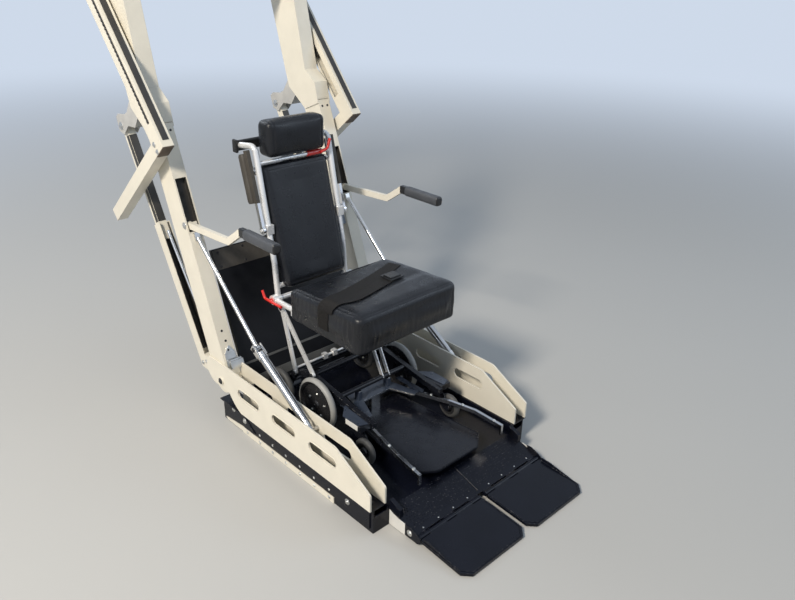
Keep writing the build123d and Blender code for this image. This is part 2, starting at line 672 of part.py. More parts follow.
def chair_frame():
    """Bright upper frame: back tubes, seat rails, two flat legs a side and cross bars."""
    reach = 4 + LEG_BAR_X[1]
    frame = seat_pan() + headrest_post() + arm_pin() + mirror(arm_pin(), about=Plane.YZ)
    for s in (-1, 1):
        x = s * BACK_TUBE_X
        frame += tube([(x, 472.0, 948.0), (x, 397.0, 576.0), (x, FRAME_NODE[0], 430.0)], FRAME_R, 26.0)
        x = s * SIDE_TUBE_X
        frame += rod((x, *FRAME_NODE), (x, SEAT_Y[0] + 60, FRAME_NODE[1]), FRAME_R)
        frame += disc(FRAME_NODE, s * (BACK_TUBE_X - 6), s * NODE_REACH, 17.0)
        bars = [strip_between(FRAME_NODE, LEG_HEAD, LEG_BAR_W + 6)]
        bars += [strip_between(LEG_HEAD, foot, LEG_BAR_W) for foot in LEG_FEET]
        for bar in bars:
            frame += slab(bar, *sorted((s * LEG_BAR_X[0], s * LEG_BAR_X[1])))
        frame += disc(LEG_HEAD, s * LEG_BAR_X[0], s * reach, LEG_BAR_W / 2 + 3)
        for foot in LEG_FEET:
            frame += disc(foot, s * LEG_BAR_X[0], s * reach, LEG_BAR_W / 2)
    frame += tube([(-BACK_TUBE_X, 456.0, 870.0), (-BACK_TUBE_X, BACK_BAR_Y, 870.0),
                   (BACK_TUBE_X, BACK_BAR_Y, 870.0), (BACK_TUBE_X, 456.0, 870.0)], FRAME_R - 1, 20.0)
    foot_y, foot_z = LEG_FEET[1]
    for y, z, x, r in ((389.0, 490.0, BACK_TUBE_X, 9.0), (*FRAME_NODE, SIDE_TUBE_X, 9.0),
                       (SEAT_Y[0] + 65, FRAME_NODE[1], SIDE_TUBE_X, 9.0), (*TOP_BAR, BACK_TUBE_X, 6.0),
                       (foot_y + 3, foot_z + 14, LEG_BAR_X[1], 4.5)):
        frame += disc((y, z), -x, x, r)
    return frame


def castor_arm():
    """Box and one-sided arm that carry a front wheel outboard of the sill tube."""
    y, x, r, wide = FRONT_WHEEL
    z = DECK_Z + SOFT_GAP + r
    inner = x - wide / 2 - 6
    top = SILL_TUBE[-1][1] + 14
    body = block((SILL_TUBE_X[1] - 2, x + 10), (y + 11, y + 84), (top - 20, top))
    arm = outline((y + 60, top - 18), (y + 88, top - 18), (y + 96, top - 46), (y + 12, z - 12),
                  ((y - 12, z - 6), (y - 11, z + 8)), (y + 14, top - 42))
    return body + slab(arm, inner, inner + 4) + disc((y, z), inner, x + wide / 2 + 3, 5.0)


def chair_base():
    """Dark lower frame: sill bars, cross tubes, axles and wheel brackets."""
    base = None
    for s in (-1, 1):
        x0, x1 = sorted((s * SILL_TUBE_X[0], s * SILL_TUBE_X[1]))
        side = slab(ribbon(SILL_TUBE, 20.0), x0, x1)
        mid_y, _, mid_r, _ = MID_WHEEL
        axle = DECK_Z + SOFT_GAP + mid_r
        side += slab(outline((mid_y - 20, 205.0), (mid_y + 20, 205.0), (mid_y + 12, axle - 12),
                             (mid_y - 12, axle - 12)), x0, x1)
        side += disc(SILL_TUBE[0], s * SILL_TUBE_X[0], s * SILL_TUBE_X[1], 13.0)
        for y, x, r, wide in (MID_WHEEL, REAR_WHEEL):
            side += disc((y, DECK_Z + SOFT_GAP + r), s * SILL_TUBE_X[0], s * (x + wide / 2 + 3), 5.0)
        side += castor_arm() if s > 0 else mirror(castor_arm(), about=Plane.YZ)
        base = side if base is None else base + side
    for y, z in (LEG_BAR, SILL_TUBE[2], SILL_TUBE[1]):
        base += disc((y, z), -SILL_TUBE_X[0] - 1, SILL_TUBE_X[0] + 1, FRAME_R - 1)
    return base


def seat_lever():
    """Bent release handle beside the left frame node."""
    x = -NODE_REACH - 9
    y, z = FRAME_NODE
    bar = tube([(x, y - 65, z), (x, y + 30, z), (x, y + 44, z + 26)], 5.0, 10.0)
    return bar + disc(FRAME_NODE, x, x + 9, 8.0)


def seat_cushion():
    """Seat pad whose top falls a little to the rear."""
    low, high = SEAT_Z
    side = outline((SEAT_Y[0], low), (SEAT_Y[1], low), (SEAT_Y[1], high - SEAT_FALL), (SEAT_Y[0], high))
    box = slab(side, -SEAT_X, SEAT_X)
    upright = [e for e in box.edges() if abs((e % 0.5).Z) > 0.9]
    box = fillet(upright, 34.0)
    return fillet(box.edges().group_by(Axis.Z)[-1], 14.0)


def back_cushion():
    """Leaning back pad, wider at the top, with rounded corners."""
    rise = BACK_HIGH[1] - BACK_LOW[1]
    lean = math.atan2(BACK_HIGH[0] - BACK_LOW[0], rise)
    long = math.dist(BACK_LOW, BACK_HIGH)
    place = Plane(origin=(0, BACK_LOW[0], BACK_LOW[1]), x_dir=(1, 0, 0),
                  z_dir=(0, math.cos(lean), -math.sin(lean)))
    low, high = BACK_HALF
    corners = [(-low, 0), (low, 0), (high, -long), (-high, -long)]
    plan = make_face(Polyline(*corners, close=True))
    pad = extrude(place * plan, amount=BACK_T)
    pad = fillet(pad.edges().filter_by(lambda e: abs(e.length - BACK_T) < 0.5), 22.0)
    return pad


def headrest():
    pad = block((-HEAD_X, HEAD_X), HEAD_Y, HEAD_Z)
    pad = fillet(pad.edges().filter_by(Axis.Y), 24.0)
    return fillet(pad.edges().group_by(Axis.Y)[0], 16.0)


def armrest():
    """Folded-up armrest: flat arm and pad on a pin at the back tube."""
    face = strip_between(ARM_PIVOT, ARM_TOP, 16.0)
    arm = slab(face, ARM_X - 5, ARM_X + 5) + disc(ARM_PIVOT, ARM_X - 5, ARM_X + 5, 13.0)
    return arm - disc(ARM_PIVOT, ARM_X - 6, ARM_X + 6, 5.0 + RUN_FIT)


def arm_pad():
    low = (ARM_PIVOT[0] + (ARM_TOP[0] - ARM_PIVOT[0]) * 0.36, ARM_PIVOT[1] + (ARM_TOP[1] - ARM_PIVOT[1]) * 0.36)
    pad = slab(strip_between(low, ARM_TOP, 30.0, offset=-23.0), ARM_X - 8, ARM_X + 16)
    return fillet(pad.edges().filter_by(Axis.X), 8.0)


def wheel(spec, hub):
    """Wheel with a round tyre crown and an axle bore."""
    y, x, r, wide = spec
    at = (y, DECK_Z + SOFT_GAP + r)
    body = disc(at, x - wide / 2, x + wide / 2, r)
    body = fillet(body.edges().filter_by(GeomType.CIRCLE), wide * 0.3)
    dish = r * 0.72
    for x0, x1 in ((x - wide / 2 - 1, x - 5), (x + 5, x + wide / 2 + 1)):
        body -= disc(at, x0, x1, dish)
    body += disc(at, x - wide / 2, x + wide / 2, hub)
    return body - disc(at, x - wide, x + wide, 5.0 + RUN_FIT)


def legrest():
    """Flat telescoping side rail of the legrest with a turned-down end."""
    points = [(119.0, -10.0, 143.0), (158.0, -157.0, 152.0), (179.0, -253.0, 153.0), (189.0, -358.0, 143.0)]
    body = None
    for a, b in zip(points, points[1:]):
        way = Vector(*b) - Vector(*a)
        place = Plane(origin=a, z_dir=way, x_dir=Vector(0, 0, 1).cross(way))
        piece = extrude(place * Rectangle(10.0, 14.0), amount=way.length)
        body = piece if body is None else body + piece + Pos(*a) * Cylinder(5.0, 14.0)
    body += block((184.0, 194.0), (-362.0, -356.0), (112.0, 150.0))
    body += block((96.0, 124.0), (-30.0, 0.0), (136.0, 150.0))
    return body


def legrest_bracket():
    """Folded plate bracket that carries the footplate and both legrest rails."""
    plan = [(-80.0, 120.0), (80.0, 120.0), (120.0, -44.0), (96.0, -44.0), (60.0, 40.0), (-60.0, 40.0),
            (-96.0, -44.0), (-120.0, -44.0)]
    plate = extrude(Pos(0, 0, 150.0) * make_face(Polyline(*plan, close=True)), amount=5.0)
    for s in (-1, 1):
        plate += block(tuple(sorted((s * 60.0, s * 72.0))), (LEG_BAR[0] - 10, LEG_BAR[0] + 10),
                       (155.0, LEG_BAR[1] - FRAME_R + 1 - SOFT_GAP))
    plate += block((-20.0, 20.0), (44.0, 60.0), (PLATE_Z + 8, 150.0))
    return plate


def footplate():
    plan = [(-112.0, 66.0), (112.0, 66.0), (153.0, -300.0), (92.0, -345.0), (-92.0, -345.0), (-153.0, -300.0)]
    face = make_face(Polyline(*plan, close=True))
    plate = extrude(Pos(0, 0, PLATE_Z) * face, amount=8.0)
    plate = fillet(plate.edges().filter_by(Axis.Z), 24.0)
    return plate


def control_box():
    """Small switch box on the inner face of the right post."""
    centre = (POST_X - 13.0, 594.0, 588.0)
    box = Location(centre, (-POST_LEAN, 0, 0)) * Box(26.0, 44.0, 66.0)
    knob = disc((centre[1] - 14, centre[2] - 8), POST_X - 40, POST_X - 26, 12.0)
    return box + knob


save("deck_tray", deck_tray())
save_pair("outer_plate", outer_plate())
save_pair("inner_plate", inner_plate())
save_pair("post", post())
save_pair("head_sleeve", head_sleeve())
save_pair("head_bracket", head_bracket())
save_pair("fold_link", fold_link())
save_pair("knee_stay", knee_stay())
save_pair("carriage", carriage())
save_pair("rail", rail())
save_pair("stand_leg", leg("stand"))
save_pair("sill_leg", leg("sill"))
save("sill_beam", sill_beam())
save("head_crossbar", block((-(POST_X - CHEEK), POST_X - CHEEK), BAR_Y, BAR_Z))
save_pair("side_strip", block((WALL_X, WALL_X + STRIP_T), STRIP_Y, (0.5, STRIP_Z)))
save("ramp_nose", ramp_nose())
save_pair("side_curb", side_curb())
save_pair("flap", flap())
save("bridge_plate", bridge_plate())
save_pair("handrail", handrail())
save_pair("handrail_grip", handrail_grip())
save_pair("brace_upper", brace_upper())
save_pair("brace_lower", brace_lower())
save("control_box", control_box())
save("chair_frame", chair_frame())
save("chair_base", chair_base())
save("seat_lever", seat_lever())
save("seat_cushion", seat_cushion())
save("back_cushion", back_cushion())
save("headrest", headrest())
save_pair("armrest", armrest())
save_pair("arm_pad", arm_pad())
save_pair("mid_wheel", wheel(MID_WHEEL, 16.0))
save_pair("rear_wheel", wheel(REAR_WHEEL, 14.0))
save_pair("front_wheel", wheel(FRONT_WHEEL, 11.0))
save("legrest", legrest_bracket() + legrest() + mirror(legrest(), about=Plane.YZ))
save("footplate", footplate())
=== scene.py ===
import bmesh
import bpy
import math
from mathutils import Matrix, Vector, noise
from mathutils.bvhtree import BVHTree


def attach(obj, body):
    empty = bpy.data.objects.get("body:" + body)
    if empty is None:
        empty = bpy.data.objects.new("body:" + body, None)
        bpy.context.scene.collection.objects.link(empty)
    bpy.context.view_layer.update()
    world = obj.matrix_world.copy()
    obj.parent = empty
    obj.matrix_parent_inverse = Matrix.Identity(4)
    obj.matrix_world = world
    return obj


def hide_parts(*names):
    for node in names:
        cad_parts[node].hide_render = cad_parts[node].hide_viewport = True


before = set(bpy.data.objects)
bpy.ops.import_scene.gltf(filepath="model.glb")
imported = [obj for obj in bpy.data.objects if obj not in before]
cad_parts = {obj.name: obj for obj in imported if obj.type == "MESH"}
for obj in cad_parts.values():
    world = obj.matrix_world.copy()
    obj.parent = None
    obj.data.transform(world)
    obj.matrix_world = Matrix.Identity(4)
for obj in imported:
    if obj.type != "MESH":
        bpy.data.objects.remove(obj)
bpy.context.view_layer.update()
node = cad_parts


# The viewpoint: eye height at the front left of the platform, looking down on
# the seat. The axes are the photograph's own, solved from the posts.
def put_in_scene(name, data):
    """A new object for a mesh, lamp or camera, linked into the scene."""
    ob = bpy.data.objects.new(name, data)
    bpy.context.scene.collection.objects.link(ob)
    return ob


eye = bpy.data.cameras.new("viewpoint")
eye.sensor_width = 36.0
eye.lens = 34.25
eye.clip_end = 60.0
viewpoint = put_in_scene("viewpoint", eye)
right = Vector((0.7265, -0.6869, 0.0199))
up = Vector((0.2854, 0.3280, 0.9005))
ahead = right.cross(up).normalized() * -1
up = right.cross(ahead).normalized()
stand = Vector((-1.4855, -1.5935, 1.5826))
viewpoint.matrix_world = Matrix([*zip(right, up, -ahead, stand), (0, 0, 0, 1)])
bpy.context.scene.camera = viewpoint
bpy.context.scene.view_settings.view_transform = "Standard"


# Studio light: a broad warm key from the high left, a cool panel from the
# right and a soft sky, so that the black parts carry long pale reflections.
def area_lamp(name, place, aim, size, power, colour):
    """A rectangular lamp at a place, turned to what it lights."""
    lamp = bpy.data.lights.new(name, "AREA")
    lamp.shape = "RECTANGLE"
    lamp.size, lamp.size_y = size
    lamp.energy = power
    lamp.color = colour
    ob = put_in_scene(name, lamp)
    ob.location = place
    ob.rotation_euler = (Vector(aim) - Vector(place)).to_track_quat("-Z", "Y").to_euler()


def feed(tree, target, sockets):
    """Give each named socket of a node a value, or a link from another node's output."""
    for key, value in sockets.items():
        if isinstance(value, bpy.types.NodeSocket):
            tree.links.new(value, target.inputs[key])
        else:
            target.inputs[key].default_value = value


def wire(tree, kind, sockets, out=0, **settings):
    """A new node with its settings, its sockets fed; the answer is one of its outputs."""
    made = tree.nodes.new(kind)
    for key, value in settings.items():
        setattr(made, key, value)
    feed(tree, made, sockets)
    return made.outputs[out]


def direct_rays(tree):
    """One where a ray from the camera, a mirror or glass looks straight at it."""
    rays = tree.nodes.new("ShaderNodeLightPath").outputs
    total = rays["Is Camera Ray"]
    for way in ("Is Glossy Ray", "Is Transmission Ray"):
        total = wire(tree, "ShaderNodeMath", {0: total, 1: rays[way]}, operation="MAXIMUM")
    return total


area_lamp("key_panel", (-4.4, -0.9, 4.3), (0.1, 0.4, 0.5), (1.0, 1.0), 400, (1.0, 0.92, 0.80))
area_lamp("cool_panel", (3.6, -2.6, 3.0), (0.1, 0.3, 0.5), (2.6, 2.0), 45, (0.74, 0.86, 1.0))
area_lamp("back_panel", (-0.8, 5.2, 3.6), (0.1, 0.4, 0.6), (3.0, 1.6), 70, (0.86, 0.92, 1.0))
backdrop = (0.62, 0.70, 0.82, 1.0)
sky = bpy.data.worlds.new("soft_sky")
bpy.context.scene.world = sky
sky.use_nodes = True
air = sky.node_tree
glow = air.nodes["Background"]
feed(air, glow, {"Color": (0.70, 0.83, 1.0, 1.0), "Strength": 0.40})
seen = wire(air, "ShaderNodeBackground", {"Color": backdrop})
pick = wire(air, "ShaderNodeMixShader", {"Fac": direct_rays(air), 1: glow.outputs[0], 2: seen})
feed(air, air.nodes["World Output"], {"Surface": pick})

# The floor and backdrop: one wide pale plane just under the rib, which fades into
# the backdrop's colour where a ray looks straight at it far from the lift.
half_floor, floor_drop = 45.0, -0.0004
floor_mesh = bpy.data.meshes.new("floor")
floor_mesh.from_pydata([(x * half_floor, y * half_floor, floor_drop)
                        for x, y in ((-1, -1), (1, -1), (1, 1), (-1, 1))], [], [(0, 1, 2, 3)])
floor = put_in_scene("floor", floor_mesh)
floor_mat = bpy.data.materials.new("pale_floor")
floor_mat.use_nodes = True
ground = floor_mat.node_tree
matt = ground.nodes["Principled BSDF"]
feed(ground, matt, {"Base Color": (0.44, 0.435, 0.42, 1), "Roughness": 0.80})
far = wire(ground, "ShaderNodeVectorMath", {0: wire(ground, "ShaderNodeTexCoord", {}, "Object")},
           "Value", operation="LENGTH")
fade = wire(ground, "ShaderNodeMapRange",
            {"Value": far, "From Min": 2.4, "From Max": 9.0, "To Min": 0.0, "To Max": 1.0},
            interpolation_type="SMOOTHSTEP")
share = wire(ground, "ShaderNodeMath", {0: fade, 1: direct_rays(ground)}, operation="MULTIPLY")
beyond = wire(ground, "ShaderNodeEmission", {"Color": backdrop})
merge = wire(ground, "ShaderNodeMixShader", {"Fac": share, 1: matt.outputs[0], 2: beyond})
feed(ground, ground.nodes["Material Output"], {"Surface": merge})
floor_mesh.materials.append(floor_mat)

# The platform tray: a welded sheet tray with kerbs, cross ribs and a sloping nose,
# coated in glossy black powder with a slight blue tint that is a painted sky reflection; it shows a fine
# orange peel and scuffed edges whose pale chips are partly a painted edge highlight.
# It rides on cream rubbing strips that are riveted along its outer walls.
def finish(name, colour, rough=0.35, metal=0.0, peel=0.0004, peel_scale=420.0, mottle=0.10,
           wear_and_highlight=0.0, wear_and_highlight_colour=(0.5, 0.5, 0.5), rounding=0.0014, coat=0.0, shine=0.5):
    """A coat or material: mottled, of uneven gloss, with soft edges and peel, and chips of a second colour
    on its edges that are partly wear and partly a painted edge highlight.
    """
    mat = bpy.data.materials.new(name)
    mat.use_nodes = True
    tree = mat.node_tree
    place = wire(tree, "ShaderNodeTexCoord", {}, "Object")

    def cloud(scale, detail):
        return wire(tree, "ShaderNodeTexNoise", {"Scale": scale, "Detail": detail, "Vector": place}, "Fac")

    def blend(fac, low, high):
        return wire(tree, "ShaderNodeMix", {"Factor": fac, "A": low, "B": high}, "Result", data_type="RGBA")

    def spread(value, low, high, a=0.0, b=1.0):
        return wire(tree, "ShaderNodeMapRange",
                    {"Value": value, "From Min": low, "From Max": high, "To Min": a, "To Max": b})

    darker = [c * (1 - mottle) for c in colour] + [1.0]
    lighter = [min(1.0, c * (1 + mottle)) for c in colour] + [1.0]
    tint = blend(spread(cloud(14.0, 6.0), 0.35, 0.65), darker, lighter)
    soft = wire(tree, "ShaderNodeBevel", {"Radius": rounding}, samples=4)
    # Chips on sharp edges, in patches: partly wear, partly a painted edge highlight.
    if wear_and_highlight > 0:
        flat = wire(tree, "ShaderNodeNewGeometry", {}, "Normal")
        meet = wire(tree, "ShaderNodeVectorMath", {0: flat, 1: soft}, "Value", operation="DOT_PRODUCT")
        edge = spread(meet, 0.995, 0.90)
        chips = spread(cloud(120.0, 4.0), 0.60 - 0.16 * wear_and_highlight, 0.68)
        both = wire(tree, "ShaderNodeMath", {0: edge, 1: chips}, operation="MULTIPLY")
        tint = blend(both, tint, (*wear_and_highlight_colour, 1.0))
    gloss = spread(cloud(33.0, 4.0), 0.3, 0.7, rough * 0.78, rough * 1.28)
    normal = soft
    if peel > 0:
        normal = wire(tree, "ShaderNodeBump",
                      {"Distance": peel, "Height": cloud(peel_scale, 3.0), "Normal": soft})
    feed(tree, tree.nodes["Principled BSDF"], {
        "Metallic": metal, "Coat Weight": coat, "Coat Roughness": 0.08, "Specular IOR Level": shine,
        "Base Color": tint, "Roughness": gloss, "Normal": normal})
    return mat


def dress(material, *names):
    """Give CAD nodes their finish, both sides where a name has twins."""
    for name in names:
        twins = [name] if name in node else [name + "_left", name + "_right"]
        for twin in twins:
            mesh = node[twin].data
            if mesh.materials:
                for i in range(len(mesh.materials)):
                    mesh.materials[i] = material
            else:
                mesh.materials.append(material)


def piece(name, bm, body, slot, *materials, smooth=35.0):
    """Finish a piece of the dressing: a mesh at the origin that rides on a body."""
    bmesh.ops.recalc_face_normals(bm, faces=bm.faces)
    mesh = bpy.data.meshes.new(name)
    bm.to_mesh(mesh)
    bm.free()
    for material in materials:
        mesh.materials.append(material)
    ob = put_in_scene(name, mesh)
    mesh.shade_smooth()
    mesh.set_sharp_from_angle(angle=math.radians(smooth))
    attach(ob, body)
    return ob


def skin(bm, rings, closed=False):
    """Faces between rings of points, capped at both ends unless the rings run in a loop."""
    rings = [[bm.verts.new(point) for point in points] for points in rings]
    pairs = list(zip(rings, rings[1:])) + ([(rings[-1], rings[0])] if closed else [])
    faces = []
    for a, b in pairs:
        for k in range(len(a)):
            j = (k + 1) % len(a)
            faces.append(bm.faces.new((a[k], a[j], b[j], b[k])))
    if not closed:
        faces += [bm.faces.new(rings[0][::-1]), bm.faces.new(rings[-1])]
    return faces


def slab(bm, outline, x0, x1):
    """A flat piece with a side outline in y and z, from x0 to x1."""
    skin(bm, [[(x, y, z) for y, z in outline] for x in (x0, x1)])


def twin_slabs(bm, outline, x0, x1):
    """The same slab on the left and on the right."""
    slab(bm, outline, -x1, -x0)
    slab(bm, outline, x0, x1)


# Screws, rivets and bolts are one head shape on a washer, set on points that
# carry the way they face, by a small geometry node group.
def head_group():
    """The node group: a cone frustum on a washer at every point, turned to its way."""
    flat_top, washer_reach, washer_height, washer_sides = 0.74, 1.42, 0.5, 18
    group = bpy.data.node_groups.new("fastener_heads", "GeometryNodeTree")
    sockets = {}
    for name, kind in (("Geometry", "Geometry"), ("Head Radius", "Float"), ("Head Height", "Float"),
                       ("Sides", "Int"), ("Material", "Material")):
        sockets[name] = group.interface.new_socket(name=name, in_out="INPUT",
                                                   socket_type="NodeSocket" + kind)
    group.interface.new_socket(name="Geometry", in_out="OUTPUT", socket_type="NodeSocketGeometry")
    given = group.nodes.new("NodeGroupInput").outputs

    def scaled(socket, factor):
        return wire(group, "ShaderNodeMath", {0: given[socket], 1: factor}, operation="MULTIPLY")

    head = wire(group, "GeometryNodeMeshCone", {
        "Vertices": given["Sides"], "Radius Bottom": given["Head Radius"],
        "Radius Top": scaled("Head Radius", flat_top), "Depth": given["Head Height"]})
    washer = wire(group, "GeometryNodeMeshCylinder", {
        "Vertices": washer_sides, "Radius": scaled("Head Radius", washer_reach),
        "Depth": scaled("Head Height", washer_height)})
    both = group.nodes.new("GeometryNodeJoinGeometry")
    for part in (head, washer):
        feed(group, both, {0: part})
    facing = wire(group, "GeometryNodeInputNamedAttribute", {"Name": "facing"}, "Attribute",
                  data_type="FLOAT_VECTOR")
    turn = wire(group, "FunctionNodeAlignRotationToVector", {"Vector": facing}, "Rotation", axis="Z")
    spread = wire(group, "GeometryNodeInstanceOnPoints",
                  {"Points": given["Geometry"], "Instance": both.outputs[0], "Rotation": turn})
    real = wire(group, "GeometryNodeRealizeInstances", {0: spread})
    coat = wire(group, "GeometryNodeSetMaterial", {"Geometry": real, "Material": given["Material"]})
    feed(group, group.nodes.new("NodeGroupOutput"), {0: coat})
    return group, sockets


heads, head_sockets = head_group()


def fasteners(name, body, slot, material, spots, radius=0.005, height=0.003, sides=6):
    """A piece with one head at each spot, which is a point and the way it faces."""
    seed = bpy.data.meshes.new(name + "_points")
    seed.from_pydata([spot for spot, _ in spots], [], [])
    facing = seed.attributes.new("facing", "FLOAT_VECTOR", "POINT")
    for item, (_, way) in zip(facing.data, spots):
        item.vector = way
    holder = put_in_scene(name + "_points", seed)
    growth = holder.modifiers.new("heads", "NODES")
    growth.node_group = heads
    for key, value in (("Head Radius", radius), ("Head Height", height), ("Sides", sides),
                       ("Material", material)):
        growth[head_sockets[key].identifier] = value
    bpy.context.view_layer.update()
    made = bpy.data.meshes.new_from_object(holder.evaluated_get(bpy.context.evaluated_depsgraph_get()))
    bpy.data.objects.remove(holder)
    bm = bmesh.new()
    bm.from_mesh(made)
    return piece(name, bm, body, slot, material, smooth=30.0)


def mirrored(spots):
    """The spots of the right side and their mirror images."""
    return spots + [((-p[0], p[1], p[2]), (-w[0], w[1], w[2])) for p, w in spots]


cream = (0.70, 0.660, 0.565)
# Black coat: black, with a slight blue tint that is a painted sky reflection.
black_coat_sky_tint = finish("black_powder_coat_sky_tint", (0.0042, 0.0052, 0.0100), rough=0.22, peel=0.00014,
                    peel_scale=700.0, wear_and_highlight=0.5, wear_and_highlight_colour=(0.13, 0.13, 0.14), shine=0.20)
cream_coat = finish("cream_powder_coat", cream, rough=0.36, peel=0.00003, peel_scale=320.0,
                    mottle=0.025, wear_and_highlight=0.6, wear_and_highlight_colour=(0.34, 0.31, 0.25))
zinc = finish("zinc_plated_steel", (0.62, 0.62, 0.60), rough=0.30, metal=1.0, peel=0.0, mottle=0.12)
dark_steel = finish("dark_oxide_steel", (0.035, 0.035, 0.038), rough=0.38, metal=0.7, mottle=0.25)
dress(black_coat_sky_tint, "deck_tray", "ramp_nose", "flap", "side_curb")
dress(cream_coat, "side_strip")
tails = bmesh.new()
twin_slabs(tails, [(0.3500, 0.0230), (0.3500, 0.0040), (0.4480, 0.0040), (0.4600, 0.0110)],
           0.3470, 0.3500)
# Pale grey plates on both sides of the black nose are painted light: they stand for its sunlit side face.
cheeks = bmesh.new()
twin_slabs(cheeks, [(-0.3320, 0.0030), (-0.3320, 0.0560), (-0.3500, 0.0490), (-0.3720, 0.0455),
                    (-0.4030, 0.0440), (-0.4060, 0.0030)], 0.2820, 0.2838)
painted_sunlit_grey = finish("painted_sunlit_grey_coat", (0.66, 0.65, 0.62), rough=0.42, peel=0.0, mottle=0.06)
piece("strip_tails", tails, "mast", "cream_paint", cream_coat)
piece("nose_painted_sunlit_cheeks", cheeks, "mast", "cream_paint", painted_sunlit_grey)
strip_x, strip_z, rivet_pitch = 0.3500, 0.0125, 0.075
fasteners("strip_rivets", "mast", "bright_steel", zinc,
          mirrored([((strip_x, -0.130 + rivet_pitch * i, strip_z), (1, 0, 0)) for i in range(7)]),
          radius=0.0042, height=0.0022, sides=14)
wall_x, ledge_top = 0.3470, 0.0870
fasteners("wall_rivets", "mast", "bright_steel", zinc,
          mirrored([((wall_x, -0.126 + rivet_pitch * i, 0.038), (1, 0, 0)) for i in range(6)]),
          radius=0.0032, height=0.0018, sides=14)
fasteners("ledge_screws", "mast", "black_paint", dark_steel,
          mirrored([((0.326, -0.300 + 0.120 * i, ledge_top), (0, 0, 1)) for i in range(7)]),
          radius=0.0050, height=0.0034)


# Nose tread: rows of small buttons pressed in the black sheet of the sloping nose,
# which give the wheels grip; they stand half a millimetre proud of it.
def ring(centre, along_one, along_two, sides):
    """Points once round a centre, from two half axes."""
    turns = [2 * math.pi * k / sides for k in range(sides)]
    return [centre + along_one * math.cos(a) + along_two * math.sin(a) for a in turns]


tread = bmesh.new()
tread_front, seam_half, tread_half = -0.3350, 0.012, 0.262
deck_top, nose_edge, nose_slope = 0.0600, -0.3310, 0.3014
pitch, row_pitch, button_radius, button_height = 0.0090, 0.92, 0.0024, 0.0005
button_top = button_radius * 0.72
for row in range(11):
    for col in range(-29, 30):
        x = pitch * (col + 0.5 * (row % 2))
        if seam_half < abs(x) < tread_half:
            y = tread_front - pitch * row * row_pitch
            z = deck_top - (nose_edge - y) * nose_slope
            skin(tread, [ring(Vector((x, y, z + lift)), Vector((r, 0, 0)), Vector((0, r, 0)), 8)
                         for r, lift in ((button_radius, 0.0), (button_top, button_height))])
piece("nose_tread", tread, "mast", "black_paint", black_coat_sky_tint)


def bead(bm, points, radius, sides=6, closed=False, flat=1.0, up=(0, 0, 1)):
    """A rounded bead along a list of points, for welds, hems and bent bars."""
    rings = []
    count = len(points)
    for i, here in enumerate(points):
        before = Vector(points[(i - 1) % count if closed else max(i - 1, 0)])
        after = Vector(points[(i + 1) % count if closed else min(i + 1, count - 1)])
        way = (after - before).normalized()
        side = way.cross(Vector(up))
        side = side.normalized() if side.length > 1e-6 else way.orthogonal().normalized()
        top = side.cross(way).normalized()
        rings.append(ring(Vector(here), side * radius, top * radius * flat, sides))
    skin(bm, rings, closed)


seam = bmesh.new()
bead(seam, [(0, -0.333, 0.0606), (0, -0.380, 0.0464), (0, -0.432, 0.0307)], 0.0026, flat=0.6)
piece("nose_seam", seam, "mast", "black_paint", black_coat_sky_tint)
nose_face = (0, -0.29, 0.957)
fasteners("hinge_rivets", "mast", "bright_steel", zinc,
          mirrored([((0.050 + 0.0640 * i, -0.4330, 0.0300), nose_face) for i in range(4)]),
          radius=0.0017, height=0.0010, sides=10)

# The two roll-stop flaps: folded black sheet on a piano hinge across the nose,
# hemmed along their free edges, with a thin upright fin beside each hinge end.
flap_fall, flap_top, flap_rear = 0.0699, 0.0236, -0.470
inner, outer, corner, front = 0.0145, 0.2755, 0.0270, -0.6345


def on_flap(x, y, lift):
    """A point on a flap's sloping top, lifted off it."""
    return (x, y, flap_top + (y - flap_rear) * flap_fall + lift)


for body, side in (("flap_left", -1), ("flap_right", 1)):
    hem = bmesh.new()
    rim = [(inner, flap_rear), (inner, front + corner), (inner + corner, front),
           (outer - corner, front), (outer, front + corner), (outer, flap_rear)]
    bead(hem, [on_flap(side * x, y, 0.0002) for x, y in rim], 0.0018)
    fin = [(flap_rear, 0.0230), (flap_rear, 0.0345), (-0.500, 0.0335), (-0.592, 0.0165), (-0.592, 0.0140)]
    slab(hem, fin, *sorted((side * outer, side * (outer + 0.0030))))
    piece(body + "_hem", hem, body, "black_paint", black_coat_sky_tint, smooth=50.0)

# Gusset plates bolted to the tray's outer walls at both ends and cheeks beside the
# flap hinge, all dark like the tray, with bright bolts.
gussets = bmesh.new()
twin_slabs(gussets, [(0.418, 0.083), (0.350, 0.083), (0.275, 0.030), (0.280, 0.026), (0.340, 0.026)],
           0.3470, 0.3505)
twin_slabs(gussets, [(-0.160, 0.040), (-0.185, 0.070), (-0.200, 0.083), (-0.318, 0.083), (-0.318, 0.012),
                     (-0.280, 0.012)], 0.3470, 0.3505)
twin_slabs(gussets, [(-0.4000, 0.0060), (-0.4000, 0.0450), (-0.4180, 0.0470), (-0.4400, 0.0400),
                     (-0.4620, 0.0300), (-0.4660, 0.0200), (-0.4520, 0.0060)], 0.2822, 0.2850)
piece("wall_gussets", gussets, "mast", "black_paint", black_coat_sky_tint)
fasteners("gusset_bolts", "mast", "bright_steel", zinc,
          mirrored([((0.3505, 0.333, 0.055), (1, 0, 0)), ((0.3505, 0.400, 0.072), (1, 0, 0)),
                    ((0.3505, -0.219, 0.051), (1, 0, 0)), ((0.2850, -0.420, 0.026), (1, 0, 0))]),
          radius=0.0072, height=0.0050)

